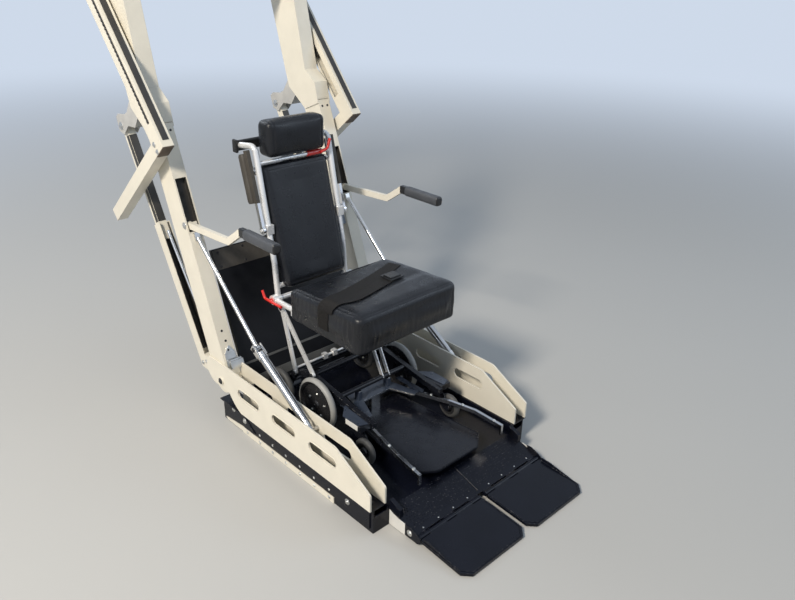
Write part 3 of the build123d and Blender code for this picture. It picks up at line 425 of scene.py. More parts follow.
# Side plates: cream-coated sheet in pairs along both edges, with three long holes
# each, rolled at the rim, and flanged pivots for the posts.
dress(cream_coat, "outer_plate", "inner_plate")
fasteners("pivot_bolts", "mast", "black_paint", dark_steel,
          mirrored([((0.3640, 0.451, 0.168), (1, 0, 0))]), radius=0.0080, height=0.0050)
slot_rims = bmesh.new()
slot_end, slot_z, slot_face, slot_sides = 0.0180, 0.169, 0.3600, 28
for side in (-1, 1):
    for y0, y1 in ((0.222, 0.348), (0.023, 0.148), (-0.180, -0.046)):
        hole = ring(Vector((side * slot_face, 0, slot_z)),
                    Vector((0, slot_end, 0)), Vector((0, 0, slot_end)), slot_sides)
        for k, point in enumerate(hole):
            rearward = math.cos(2 * math.pi * k / slot_sides) > 0
            point.y += y1 - slot_end if rearward else y0 + slot_end
        bead(slot_rims, hole, 0.0011, closed=True, up=(1, 0, 0))
piece("slot_rims", slot_rims, "mast", "cream_paint", cream_coat, smooth=60.0)

# Posts and heads: cream-coated alloy box section that leans to the rear, with a
# sleeve head bolted through at the top and a folded stowage slot in the front.
dress(cream_coat, "post", "head_sleeve", "head_crossbar", "fold_link")
grey_coat = finish("grey_satin_coat", (0.43, 0.425, 0.41), rough=0.36, peel=0.0, wear_and_highlight=0.5,
                   wear_and_highlight_colour=(0.55, 0.55, 0.54))
dress(grey_coat, "head_bracket")
post_lean = math.radians(20.59)
post_axis = Vector((0, math.sin(post_lean), math.cos(post_lean)))
post_back = Vector((0, math.cos(post_lean), -math.sin(post_lean)))
post_foot = Vector((0.328, 0.338, 0.0))


def on_post(up, back=0.0, across=0.0):
    """A point on the right post: up along it, back from its front face, and across."""
    at = post_foot + post_axis * up + post_back * back
    return (at.x + across, at.y, at.z)


def corners(a0, a1, b0, b1):
    """The corners of a rectangle that runs from a0 to a1 one way and b0 to b1 the other."""
    return [(a0, b0), (a1, b0), (a1, b1), (a0, b1)]


face_out = tuple(-post_back)
head_bolts = [(on_post(up, back, 0.029), (1, 0, 0))
              for up in (1.010, 1.065, 1.120) for back in (0.030, 0.070)]
fasteners("head_bolts", "mast", "bright_steel", zinc, mirrored(head_bolts), radius=0.0062, height=0.0042)
fasteners("latch_bolts", "mast", "bright_steel", zinc,
          mirrored([((0.353, 1.000, 0.959), (1, 0, 0)), ((0.303, 1.000, 0.959), (-1, 0, 0))]),
          radius=0.0095, height=0.0062)
front_screws = [(on_post(up, 0.0, across), face_out)
                for up, across in ((0.335, 0.0), (0.372, 0.004), (1.060, -0.012), (1.060, 0.012))]
fasteners("post_screws", "mast", "black_paint", dark_steel, mirrored(front_screws), radius=0.0030,
          height=0.0016, sides=12)
latches = bmesh.new()
for thick, leaf in ((0.0024, ((0.292, -0.022), (0.292, 0.016), (0.316, -0.001), (0.316, -0.007))),
                    (0.0024, ((0.214, -0.020), (0.214, 0.016), (0.196, 0.002), (0.196, -0.008))),
                    (0.0040, corners(0.214, 0.292, -0.022, 0.018)),
                    (0.0150, corners(0.234, 0.268, -0.034, 0.010)),
                    (0.0190, corners(0.240, 0.262, -0.037, 0.013))):
    for side in (-1, 1):
        sheets = [[on_post(up, -proud, across) for up, across in leaf] for proud in (0.0, thick)]
        skin(latches, [[(side * x, y, z) for x, y, z in sheet] for sheet in sheets])
piece("post_latches", latches, "mast", "bright_steel", zinc)
fasteners("latch_screws", "mast", "black_paint", dark_steel,
          mirrored([(on_post(up, -0.0022), face_out) for up in (0.302, 0.284, 0.205)]),
          radius=0.0028, height=0.0014)

liner = bmesh.new()
stow_low, stow_high, stow_deep, stow_half, liner_sheet = 0.7235, 0.9010, 0.0198, 0.0198, 0.0012
for x0, x1, mouth in ((-stow_half, stow_half, stow_deep - liner_sheet),
                      (-stow_half, -stow_half + liner_sheet, 0.0010),
                      (stow_half - liner_sheet, stow_half, 0.0010)):
    outline = [on_post(up, back)[1:] for up, back in corners(stow_low, stow_high, mouth, stow_deep)]
    twin_slabs(liner, outline, post_foot.x + x0, post_foot.x + x1)
liner_dark = finish("slot_liner", (0.022, 0.020, 0.017), rough=0.6, peel=0.0, mottle=0.2)
piece("stowage_liners", liner, "mast", "black_alloy", liner_dark)

# Fold links and their thin stays: cream channels behind the posts, pinned to the tails
# of the side plates, with a bright stay rod from each knee. Dark sheets in the channels are painted shade.
stay_steel = finish("polished_rod", (0.78, 0.78, 0.77), rough=0.14, metal=1.0, peel=0.00003, mottle=0.06)
dress(stay_steel, "knee_stay")
channel_shade = finish("channel_painted_shade", (0.034, 0.032, 0.030), rough=0.45, peel=0.0, mottle=0.2)
link_foot, link_way = Vector((0.580, 0.168)), Vector((0.420, 0.791)).normalized()
link_front = Vector((-link_way.y, link_way.x))
# Thin dark sheets on the channel walls: painted shade inside the open channels.
shade_sheets = bmesh.new()
for up0, up1, out0, out1, x0, x1 in ((0.060, 0.530, -0.0190, -0.0178, 0.3112, 0.3448),
                                     (0.060, 0.530, -0.0178, 0.0210, 0.3112, 0.3124),
                                     (0.060, 0.530, -0.0178, 0.0210, 0.3436, 0.3448),
                                     (0.540, 0.858, -0.0080, 0.0092, 0.3428, 0.3442),
                                     (0.540, 0.858, 0.0098, 0.0110, 0.3140, 0.3420)):
    outline = [link_foot + link_way * up + link_front * out for up, out in corners(up0, up1, out0, out1)]
    twin_slabs(shade_sheets, outline, x0, x1)
piece("link_painted_shade", shade_sheets, "mast", "black_alloy", channel_shade)
fasteners("link_bolts", "mast", "bright_steel", zinc,
          mirrored([((0.348, 0.566, 0.190), (1, 0, 0)), ((0.348, 0.592, 0.176), (1, 0, 0))]),
          radius=0.0060, height=0.0040)

# Rails: cream alloy profiles on a steep slope, held by square legs, with dark teeth along the
# outer face that are painted shade for its perforations, sliding shoes in the inner slot and brown end
# caps.
dress(cream_coat, "rail", "stand_leg", "sill_leg", "sill_beam")
slide_black_and_shade = finish("sliding_plastic_and_perforation_shade", (0.030, 0.028, 0.026), rough=0.48, peel=0.00010, mottle=0.2)
dress(slide_black_and_shade, "carriage")
slope = math.radians(50.0)
along = Vector((0, math.cos(slope), math.sin(slope)))
behind = Vector((0, math.sin(slope), -math.cos(slope)))


def on_rail(t, n, x):
    """A point of the right rail's frame: t up the slope, n behind its line, at x."""
    at = along * t + behind * n
    return Vector((x, at.y, at.z))


def rail_bars(bm, t0, t1, n0, n1, x0, x1):
    """A bar along each rail, from t0 to t1 up the slope and n0 to n1 behind its line."""
    for side in (-1, 1):
        skin(bm, [[on_rail(t, n, side * x) for t, n in corners(t0, t1, n0, n1)] for x in (x0, x1)])


# Dark strip and teeth on each rail's outer face: painted shade standing for its perforations.
perforation_shade = bmesh.new()
rack_low, rack_high, rack_n, tooth, half_tooth = 1.2220, 3.4700, -0.1495, 0.0160, 0.0040
rail_bars(perforation_shade, rack_low, rack_high, rack_n - 0.0062, rack_n + 0.0062, 0.4075, 0.4086)
for k in range(int((rack_high - rack_low) / tooth)):
    t = rack_low + tooth * (k + 0.5)
    rail_bars(perforation_shade, t - half_tooth, t + half_tooth, rack_n - 0.0056, rack_n + 0.0050, 0.4084, 0.4104)
piece("rail_perforation_shade", perforation_shade, "rails", "slide_plastic", slide_black_and_shade)
strips = bmesh.new()
rail_bars(strips, 1.1500, 3.4660, -0.1728, -0.1716, 0.3775, 0.3985)
piece("rail_wear_strips", strips, "rails", "slide_plastic", slide_black_and_shade)
cap_brown = finish("brown_end_cap", (0.10, 0.07, 0.05), rough=0.5, mottle=0.2)
caps = bmesh.new()
for t0, t1 in ((1.1240, 1.1270), (3.4880, 3.4905)):
    rail_bars(caps, t0, t1, -0.1695, -0.1085, 0.3690, 0.4070)
piece("rail_caps", caps, "rails", "slide_plastic", cap_brown)
rail_bolts = [(tuple(on_rail(t, -0.1250, 0.4080)), (1, 0, 0))
              for t in (1.1350, 1.1610, 2.1500, 2.1790, 3.4600)]
fasteners("rail_bolts", "rails", "bright_steel", zinc, mirrored(rail_bolts), radius=0.0062, height=0.0042)

# Bridge plate: a black sheet pan that leans between the posts, hinged on ears at
# the deck, with a grey-brown kick band along its top edge and two stiffening bars below.
pan_coat = finish("bridge_coat", (0.0060, 0.0065, 0.0085), rough=0.36, peel=0.0, shine=0.25)
band_coat = finish("bridge_band", (0.052, 0.047, 0.041), rough=0.55, mottle=0.16)
hinge_grey = finish("hinge_grey", (0.13, 0.13, 0.125), rough=0.42, metal=0.5, mottle=0.2)
dress(pan_coat, "bridge_plate")
lean_front = 0.3780
trim = bmesh.new()
bars = bmesh.new()


def pan_bar(bm, up0, up1, half, proud):
    """A strip across the pan's face, between two heights up its lean."""
    outline = [Vector((0, lean_front, 0)) + post_axis * up - post_back * out
               for up, out in corners(up0, up1, 0.0, proud)]
    slab(bm, [(at.y, at.z) for at in outline], -half, half)


pan_bar(trim, 0.5560, 0.6270, 0.2700, 0.0016)
pan_bar(bars, 0.1240, 0.1560, 0.2660, 0.0060)
pan_bar(bars, 0.2060, 0.2140, 0.2660, 0.0040)
piece("bridge_band", trim, "bridge", "black_alloy", band_coat)
piece("bridge_bars", bars, "bridge", "black_alloy", hinge_grey)
fasteners("bridge_rivets", "bridge", "black_paint", dark_steel,
          [(tuple(Vector((x, lean_front, 0)) + post_axis * up - post_back * 0.0018), face_out)
           for up in (0.566, 0.617) for x in (-0.25, -0.15, -0.05, 0.05, 0.15, 0.25)],
          radius=0.0030, height=0.0016, sides=12)

# Handrails: cranked flat bars in cream, each with a padded grip of dark grey foam
# and a black end cap; the grip has fine rings from its moulding.
dress(cream_coat, "handrail")
foam = finish("grip_foam", (0.052, 0.056, 0.064), rough=0.50, peel=0.0006, peel_scale=900.0, mottle=0.15,
              rounding=0.003)
cap_black = finish("black_cap", (0.012, 0.012, 0.013), rough=0.30, peel=0.0001)
grip_x, grip_z, grip_front, grip_rear = 0.3370, 0.7620, 0.1000, 0.2620
grip_half_x, grip_half_z, grip_rings, ring_depth = 0.0150, 0.0170, 26, 0.012


def padded_ring(centre, one, two, power, sides):
    """A ring with flattened sides, like foam moulded on a flat bar."""
    points = []
    for k in range(sides):
        a = 2 * math.pi * k / sides
        c, s = (math.copysign(abs(part) ** power, part) for part in (math.cos(a), math.sin(a)))
        points.append(centre + one * c + two * s)
    return points


def block(bm, low, high):
    """A box from its lowest to its highest corner."""
    for v in bmesh.ops.create_cube(bm, size=1.0)["verts"]:
        for i in range(3):
            v.co[i] = low[i] if v.co[i] < 0 else high[i]


handrails = (("handrail_left", -1), ("handrail_right", 1))
for name, side in handrails:
    sections = [(grip_front + 0.0006, 0.55), (grip_front + 0.0012, 0.86), (grip_front + 0.004, 0.97)]
    for i in range(grip_rings + 1):
        y = grip_front + 0.008 + (grip_rear - grip_front - 0.016) * i / grip_rings
        sections.append((y, 1.0 - ring_depth * (i % 2)))
    sections += [(grip_rear - 0.004, 0.97), (grip_rear - 0.0012, 0.86)]
    bm = bmesh.new()
    skin(bm, [padded_ring(Vector((side * grip_x, y, grip_z)), Vector((grip_half_x * fat, 0, 0)),
                          Vector((0, 0, grip_half_z * fat)), 0.62, 24) for y, fat in sections])
    for face in bm.faces:
        if max(v.co.y for v in face.verts) < grip_front + 0.0075:
            face.material_index = 1
    grip = piece(name + "_foam", bm, name, "grip_rubber", foam, cap_black, smooth=60.0)
    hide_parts("handrail_grip" + name[8:])
for name, side in handrails:
    sleeve = bmesh.new()
    block(sleeve, (side * grip_x - 0.0095, 0.2610, 0.7480), (side * grip_x + 0.0095, 0.2900, 0.7760))
    bmesh.ops.bevel(sleeve, geom=sleeve.edges[:], offset=0.0022, segments=2, affect="EDGES")
    piece(name + "_sleeve", sleeve, name, "grip_rubber", cap_black)
fasteners("handrail_pivots", "mast", "bright_steel", zinc,
          mirrored([((0.3530, 0.613, 0.695), (1, 0, 0))]), radius=0.0085, height=0.0050)

# Folding braces: a bright cranked rod from the post, a polished tube to the side
# plates, and a pale clamp over the pinned joint between them. The switch box on the
# right post is moulded in grey plastic.
tube_bright = finish("polished_tube", (0.46, 0.46, 0.46), rough=0.22, metal=1.0, peel=0.0, mottle=0.05)
bright = finish("bright_rod", (0.66, 0.65, 0.63), rough=0.18, metal=1.0, peel=0.0, mottle=0.08)
clamp_pale = finish("pale_clamp", (0.55, 0.54, 0.52), rough=0.30, metal=0.7, peel=0.0)
dress(bright, "brace_upper")
dress(tube_bright, "brace_lower")
brace_x = 0.328
joint = Vector((brace_x, 0.256, 0.367))
down = (Vector((brace_x, -0.020, 0.192)) - joint).normalized()
over = Vector((0, down.z, -down.y))
clamps = bmesh.new()
clamp_outline = [joint + down * s + over * w for s, w in corners(-0.012, 0.030, -0.0100, 0.0100)]
for x in (brace_x - 0.0165, brace_x + 0.0125):
    twin_slabs(clamps, [(at.y, at.z) for at in clamp_outline], x, x + 0.0040)
piece("brace_clamps", clamps, "mast", "bright_steel", clamp_pale)
sleeves = bmesh.new()
for side in (-1, 1):
    for t0, t1, r in ((0.020, 0.042, 0.0163), (0.292, 0.312, 0.0158)):
        a, b = joint + down * t0, joint + down * t1
        points = [(side * p.x, p.y, p.z) for p in (a, a.lerp(b, 0.15), a.lerp(b, 0.85), b)]
        bead(sleeves, points, r, sides=20)
piece("brace_collars", sleeves, "mast", "bright_steel", bright, smooth=45.0)
fasteners("brace_pins", "mast", "black_paint", dark_steel,
          mirrored([((0.3445, 0.256, 0.367), (1, 0, 0))]), radius=0.0060, height=0.0036)
box_grey = finish("moulded_box", (0.36, 0.41, 0.48), rough=0.46, peel=0.0003, peel_scale=900.0)
dress(box_grey, "control_box")

# The chair's frame: satin silver tubes and flat legs, bolted to a black base, with
# chrome armrest tubes that carry foam pads, a push bar and red release handles.
silver = finish("satin_silver", (0.76, 0.76, 0.76), rough=0.30, metal=0.45, peel=0.0, mottle=0.04)
chrome = finish("chrome_plate", (0.86, 0.86, 0.87), rough=0.10, metal=1.0, peel=0.0, mottle=0.02)
base_black = finish("base_black", (0.0080, 0.0090, 0.0130), rough=0.28, peel=0.0, wear_and_highlight=0.3, shine=0.30)
red_coat = finish("red_coat", (0.62, 0.020, 0.012), rough=0.28, peel=0.0, mottle=0.10, coat=0.4)
dress(silver, "chair_frame")
dress(base_black, "chair_base")
dress(red_coat, "seat_lever")
dress(chrome, "armrest")


def pipe(bm, points, radius, bend=0.020, sides=12):
    """A round bar through points, with its corners bent to a radius."""
    line = [Vector(points[0])]
    for before, here, after in zip(points, points[1:], points[2:]):
        here = Vector(here)
        come, go = Vector(before) - here, Vector(after) - here
        turn = math.pi - come.angle(go)
        reach = min(bend * math.tan(turn / 2), 0.45 * come.length, 0.45 * go.length)
        start, end = here + come.normalized() * reach, here + go.normalized() * reach
        for k in range(7):
            t = k / 6
            line.append((1 - t) ** 2 * start + 2 * t * (1 - t) * here + t ** 2 * end)
    line.append(Vector(points[-1]))
    bead(bm, line, radius, sides=sides, up=(0.31, 0.17, 0.93))


grips = bmesh.new()
pipe(grips, [(0.050, 0.4629, 0.9030), (0.112, 0.4629, 0.9030)], 0.0095)
pipe(grips, [(0.100, 0.4500, 0.9040), (0.128, 0.4480, 0.9120), (0.1410, 0.4500, 0.9450)], 0.0055)
piece("back_latch", grips, "mast", "red_paint", red_coat, smooth=50.0)
horns = bmesh.new()
for side in (-1, 1):
    pipe(horns, [(side * 0.1500, 0.4640, 0.9100), (side * 0.1500, 0.4760, 0.9580),
                 (side * 0.1560, 0.5560, 0.9480)], 0.0098, bend=0.030, sides=16)
piece("back_tube_bends", horns, "mast", "bright_steel", silver, smooth=50.0)
push = bmesh.new()
slab(push, [(0.5530, 0.9310), (0.5530, 0.9600), (0.5600, 0.9640), (0.5670, 0.9600), (0.5670, 0.9310),
            (0.5600, 0.9270)], -0.1700, 0.1700)
twin_slabs(push, [(0.5480, 0.9240), (0.5480, 0.9670), (0.5720, 0.9670), (0.5720, 0.9240)], 0.1640, 0.1735)
bmesh.ops.bevel(push, geom=push.edges[:], offset=0.0018, segments=2, affect="EDGES")
piece("push_bar", push, "mast", "grip_rubber", cap_black, smooth=50.0)
arm_foam = finish("arm_foam", (0.048, 0.042, 0.034), rough=0.60, peel=0.0006, peel_scale=800.0, mottle=0.15)
arm_pivot, arm_top = Vector((0, 0.419, 0.690)), Vector((0, 0.487, 0.936))
arm_way = (arm_top - arm_pivot).normalized()
arm_rear = Vector((0, arm_way.z, -arm_way.y))
pad_low = arm_pivot.lerp(arm_top, 0.36)
pad_x, pad_half_x, pad_half_y, pad_steps = 0.1770, 0.0118, 0.0150, 18
arm_cap, arm_half = arm_top + arm_way * 0.0100, arm_rear * 0.0090
arm_bar = [pad_low + arm_half, arm_cap + arm_half, arm_cap - arm_half, pad_low - arm_half]
for name, side in (("armrest_left", -1), ("armrest_right", 1)):
    rings = []
    for i in range(pad_steps + 1):
        t = i / pad_steps
        fat = min(1.0, 0.80 + 4.0 * min(t, 1 - t))
        mid = pad_low.lerp(arm_top, t) + arm_rear * 0.0230 + Vector((side * pad_x, 0, 0))
        rings.append(padded_ring(mid, Vector((side * pad_half_x * fat, 0, 0)),
                                 -arm_rear * pad_half_y * fat, 0.7, 20))
    bm = bmesh.new()
    skin(bm, rings)
    slab(bm, [(at.y, at.z) for at in arm_bar], *sorted((side * 0.1664, side * 0.1796)))
    pad = piece(name + "_foam", bm, name, "grip_rubber", arm_foam, smooth=60.0)
    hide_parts("arm_pad" + name[7:])
fasteners("frame_bolts", "mast", "black_paint", dark_steel,
          mirrored([((0.1720, 0.344, 0.428), (1, 0, 0)), ((0.1720, 0.180, 0.236), (1, 0, 0)),
                    ((0.1720, 0.280, 0.203), (1, 0, 0))]), radius=0.0055, height=0.0036)

# Wheels: solid tyres, grey on the middle pair and dark on the others, on dark moulded
# discs with five bolts; the front pair are plain small rollers. Each is turned as one
# profile on its axle.
tyre_dark = finish("dark_tyre", (0.060, 0.060, 0.060), rough=0.55, peel=0.0, mottle=0.2, rounding=0.002)
tyre_grey = finish("grey_tyre", (0.30, 0.30, 0.29), rough=0.58, peel=0.0002, peel_scale=300.0, mottle=0.14,
                   rounding=0.002)
disc_dark = finish("wheel_disc", (0.020, 0.020, 0.022), rough=0.26, peel=0.0001, mottle=0.2)
wheel_floor, wheel_turns = 0.0603, 56


def wheel(name, y, x, radius, width, bolts):
    """A tyre, disc and hub turned as one closed profile, on the deck at x and y."""
    z = wheel_floor + radius
    half, band = width / 2, 0.0145 if radius > 0.06 else 0.0170
    rim = radius - band
    profile = [(half - 0.0005, 0.0053), (half - 0.0005, 0.0135), (half - 0.006, 0.0160),
               (half - 0.008, rim * 0.42), (half - 0.0095, rim - 0.007), (half - 0.003, rim - 0.004),
               (half - 0.002, rim), (half - 0.0006, rim + 0.003), (half - 0.0003, rim + 0.35 * band),
               (half - 0.0030, radius - 0.0040), (half - 0.0075, radius - 0.0008), (0.0, radius)]
    whole = profile + [(-u, r) for u, r in reversed(profile[:-1])]
    first_tyre, last_tyre = 6, len(whole) - 8
    bm = bmesh.new()
    faces = skin(bm, [ring(Vector((x + u, y, z)), Vector((0, r, 0)), Vector((0, 0, r)), wheel_turns)
                      for u, r in whole], closed=True)
    for i, face in enumerate(faces):
        face.material_index = 0 if first_tyre <= i // wheel_turns < last_tyre else 1
    rubber = tyre_grey if radius > 0.08 else tyre_dark
    ob = piece(name + "_turned", bm, name, "wheel_tyre", rubber, disc_dark, smooth=40.0)
    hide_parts(name)
    spots = []
    for k in range(bolts):
        a = 2 * math.pi * (k + 0.3) / bolts
        across, up = 0.5 * rim * math.cos(a), 0.5 * rim * math.sin(a)
        spots += [((x + way * (half - 0.0085), y + across, z + up), (way, 0, 0)) for way in (-1, 1)]
    if spots:
        fasteners(name + "_bolts", name, "bright_steel", zinc, spots, radius=0.0042, height=0.0040)


for side, tail in ((-1, "_left"), (1, "_right")):
    wheel("mid_wheel" + tail, 0.129, side * 0.188, 0.095, 0.024, 5)
    wheel("rear_wheel" + tail, 0.338, side * 0.188, 0.070, 0.024, 5)
    wheel("front_wheel" + tail, -0.123, side * 0.195, 0.045, 0.022, 0)

# Legrest and footplate: silver telescoping rails on a dark folded bracket, and a
# moulded black footplate with a pebbled top and a rounded rim. Beside them are dark plates over the
# castor arms, painted shade, with pale outboard faces that are painted sunlight, and the flat struts under
# the seat.
pebble = finish("pebbled_plastic", (0.0045, 0.0052, 0.0090), rough=0.24, peel=0.0002, peel_scale=420.0,
                mottle=0.1, rounding=0.0025, shine=0.30)
rail_silver = finish("telescoping_rail", (0.46, 0.46, 0.47), rough=0.20, metal=1.0, peel=0.0, mottle=0.06)
# Dark blue-black for the legrest bracket plates, and painted shade on the castor arms.
bracket_dark_and_shade = finish("bracket_dark_and_shade", (0.032, 0.042, 0.064), rough=0.30, peel=0.0, mottle=0.1)
dress(pebble, "footplate")
dress(rail_silver, "legrest")


def level_plate(bm, plan, z0, z1, side=1):
    """A level plate with a plan in x and y, from z0 to z1."""
    skin(bm, [[(side * x, y, z) for x, y in plan] for z in (z0, z1)])


brackets = bmesh.new()
plan = [(-0.0800, 0.1200), (0.0800, 0.1200), (0.1200, -0.0440), (0.0960, -0.0440), (0.0600, 0.0400),
        (-0.0600, 0.0400), (-0.0960, -0.0440), (-0.1200, -0.0440)]
level_plate(brackets, plan, 0.1550, 0.1562)
level_plate(brackets, plan, 0.1488, 0.1500)
twin_slabs(brackets, corners(0.0485, 0.0715, 0.1560, 0.1890), 0.0590, 0.0730)
twin_slabs(brackets, [(-0.0440, 0.1500), (0.0100, 0.1500), (0.0100, 0.1700), (-0.0440, 0.1620)],
           0.1190, 0.1205)
piece("legrest_bracket_plates", brackets, "mast", "black_alloy", bracket_dark_and_shade)
# Pale outboard faces on the castor boxes: painted sunlight on a dark box.
painted_sunlit_face = finish("painted_sunlit_box_face", (0.72, 0.71, 0.68), rough=0.34, peel=0.0)
# Dark plates over the castor arms: painted shade.
castor_shade_plates = bmesh.new()
arm_shade_plan = [(0.2060, -0.0250), (0.2060, -0.0980), (0.1740, -0.1120), (0.1640, -0.0040), (0.1500, 0.0040),
             (0.1640, 0.0160)]
side_shade_plan = [(0.1180, 0.0720), (0.1400, 0.0720), (0.1400, -0.0500), (0.1240, -0.0600)]
for side in (-1, 1):
    level_plate(castor_shade_plates, arm_shade_plan, 0.1922, 0.1942, side)
    level_plate(castor_shade_plates, side_shade_plan, 0.1562, 0.1580, side)
faces = bmesh.new()
twin_slabs(faces, corners(-0.0980, -0.0400, 0.1735, 0.1915), 0.2052, 0.2070)
piece("castor_painted_shade", castor_shade_plates, "mast", "black_alloy", bracket_dark_and_shade)
piece("castor_painted_sunlit_faces", faces, "mast", "bright_steel", painted_sunlit_face)
struts = bmesh.new()
strut_foot, strut_head = Vector((0, 0.0600, 0.2030)), Vector((0, 0.1880, 0.4470))
strut_way = (strut_head - strut_foot).normalized()
strut_half = Vector((0, -strut_way.z, strut_way.y)) * 0.0075
strut_foot -= strut_way * 0.006
strut_bar = [strut_foot + strut_half, strut_head + strut_half,
             strut_head - strut_half, strut_foot - strut_half]
for x in (0.040, 0.068):
    slab(struts, [(at.y, at.z) for at in strut_bar], x, x + 0.0040)
pipe(struts, [(0.034, 0.1050, 0.2890), (0.078, 0.1050, 0.2890)], 0.0045)
for x in (-0.0330, 0.0100):
    block(struts, (x - 0.009, 0.2750, 0.2070), (x + 0.009, 0.2930, 0.2270))
piece("seat_struts", struts, "mast", "bright_steel", silver)
pins = [((0.1685, -0.205, 0.1600), (0, 0, 1)), ((0.1400, -0.085, 0.1555), (0, 0, 1)),
        ((0.1855, -0.330, 0.1530), (0, 0, 1))]
fasteners("legrest_pins", "mast", "bright_steel", zinc, mirrored(pins), radius=0.0038,
          height=0.0040, sides=12)
rim = bmesh.new()
edge = [(0.0960, 0.0620), (0.1080, 0.0520), (0.1480, -0.2860), (0.1440, -0.3020),
        (0.0980, -0.3390), (0.0840, -0.3420)]
edge += [(-x, y) for x, y in reversed(edge)]
bead(rim, [(x, y, 0.1042) for x, y in edge], 0.0016, closed=True)
piece("footplate_rim", rim, "mast", "black_plastic", pebble, smooth=60.0)

# Seat, back and headrest: foam pads under black vinyl, sewn from panels. Each is
# swollen by a short cloth run from a slightly smaller form; seams and the creases
# at the corners are worked in afterwards.
vinyl = finish("black_vinyl", (0.0085, 0.0095, 0.0125), rough=0.30, peel=0.00035, peel_scale=900.0,
               mottle=0.15, rounding=0.003, shine=0.32)


def form(name, points, upright, brim, foot, voxel):
    """A block from eight points, its edges rounded in three sizes, in even cells."""
    bm = bmesh.new()
    v = [bm.verts.new(point) for point in points]
    for f in ((0, 3, 2, 1), (4, 5, 6, 7), (0, 1, 5, 4), (1, 2, 6, 5), (2, 3, 7, 6), (3, 0, 4, 7)):
        bm.faces.new([v[i] for i in f])
    rise = [edge for edge in bm.edges if {edge.verts[0] in v[:4], edge.verts[1] in v[:4]} == {True, False}]
    bmesh.ops.bevel(bm, geom=rise, offset=upright, segments=7, profile=0.5, affect="EDGES")
    caps = sorted(bm.faces, key=lambda f: len(f.verts))[-2:]
    centre = sum((Vector(point) for point in points[:4]), Vector()) / 4
    caps.sort(key=lambda f: (f.calc_center_median() - centre).length)
    for cap, size in zip(caps, (foot, brim)):
        bmesh.ops.bevel(bm, geom=list(cap.edges), offset=size, segments=5, profile=0.5, affect="EDGES")
    mesh = bpy.data.meshes.new(name)
    bm.to_mesh(mesh)
    bm.free()
    ob = put_in_scene(name, mesh)
    cells = ob.modifiers.new("cells", "REMESH")
    cells.mode, cells.voxel_size = "VOXEL", voxel
    settle(ob)
    return ob


def settle(ob):
    """Replace the mesh by what its modifiers make of it."""
    bpy.context.view_layer.update()
    made = bpy.data.meshes.new_from_object(ob.evaluated_get(bpy.context.evaluated_depsgraph_get()))
    ob.modifiers.clear()
    ob.data = made


def swell(ob, cap):
    """Inflate the cover with Cloth; the skin follows evenly, outward and under cap."""
    frames, evening_passes, most_inward = 20, 14, -0.0010
    mesh = ob.data
    rest = [v.co.copy() for v in mesh.vertices]
    facing = [v.normal.copy() for v in mesh.vertices]
    cloth = ob.modifiers.new("cover", "CLOTH")
    rules = cloth.settings
    rules.use_pressure, rules.uniform_pressure_force = True, 4.0
    rules.effector_weights.gravity = 0.0
    rules.tension_stiffness = rules.compression_stiffness = 12.0
    rules.bending_stiffness = 1.0
    cloth.point_cache.frame_start, cloth.point_cache.frame_end = 1, frames
    for step in range(1, frames + 1):
        bpy.context.scene.frame_set(step)
    view = ob.evaluated_get(bpy.context.evaluated_depsgraph_get())
    rise = [max(most_inward, min(cap, (v.co - a).dot(n)))
            for v, a, n in zip(view.data.vertices, rest, facing)]
    ob.modifiers.clear()
    bpy.context.scene.frame_set(1)
    near = [[] for _ in rest]
    for edge in mesh.edges:
        one, two = edge.vertices
        near[one].append(two)
        near[two].append(one)
    for _ in range(evening_passes):
        rise = [0.5 * h + 0.5 * sum(rise[k] for k in around) / len(around)
                for h, around in zip(rise, near)]
    for vertex, a, n, h in zip(mesh.vertices, rest, facing, rise):
        vertex.co = a + n * h


def refine(ob):
    """One level of subdivision."""
    finer = ob.modifiers.new("finer", "SUBSURF")
    finer.levels = finer.render_levels = 1
    settle(ob)


def sculpt(ob, rule):
    """Refine a pad, then move every point by a rule of its place and its way out."""
    refine(ob)
    ob.data.shade_smooth()
    normals = [v.normal.copy() for v in ob.data.vertices]
    for vertex, normal in zip(ob.data.vertices, normals):
        vertex.co += rule(vertex.co, normal)
    ob.data.update()


def groove(distance, depth, width):
    """Depth of a sewn seam at a distance from its line."""
    return -depth * math.exp(-(distance / width) ** 2)


def padded(ob, body, cad):
    """Cover a pad in vinyl and let it stand for its solid, as a soft piece."""
    ob.data.materials.clear()
    ob.data.materials.append(vinyl)
    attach(ob, body)
    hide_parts(cad)


seat_half, seat_front, seat_rear = 0.2180, -0.1190, 0.2430
seat_low, seat_high, seat_back_top = 0.4490, 0.5750, 0.5570
inset = 0.0030
seat_plan = corners(-seat_half + inset, seat_half - inset, seat_front + inset, seat_rear - inset)
seat_tops = [seat_high - inset] * 2 + [seat_back_top - inset] * 2
seat = form("seat_pad", [(x, y, seat_low) for x, y in seat_plan]
            + [(x, y, z) for (x, y), z in zip(seat_plan, seat_tops)], 0.030, 0.018, 0.006, 0.0055)
swell(seat, 0.0075)


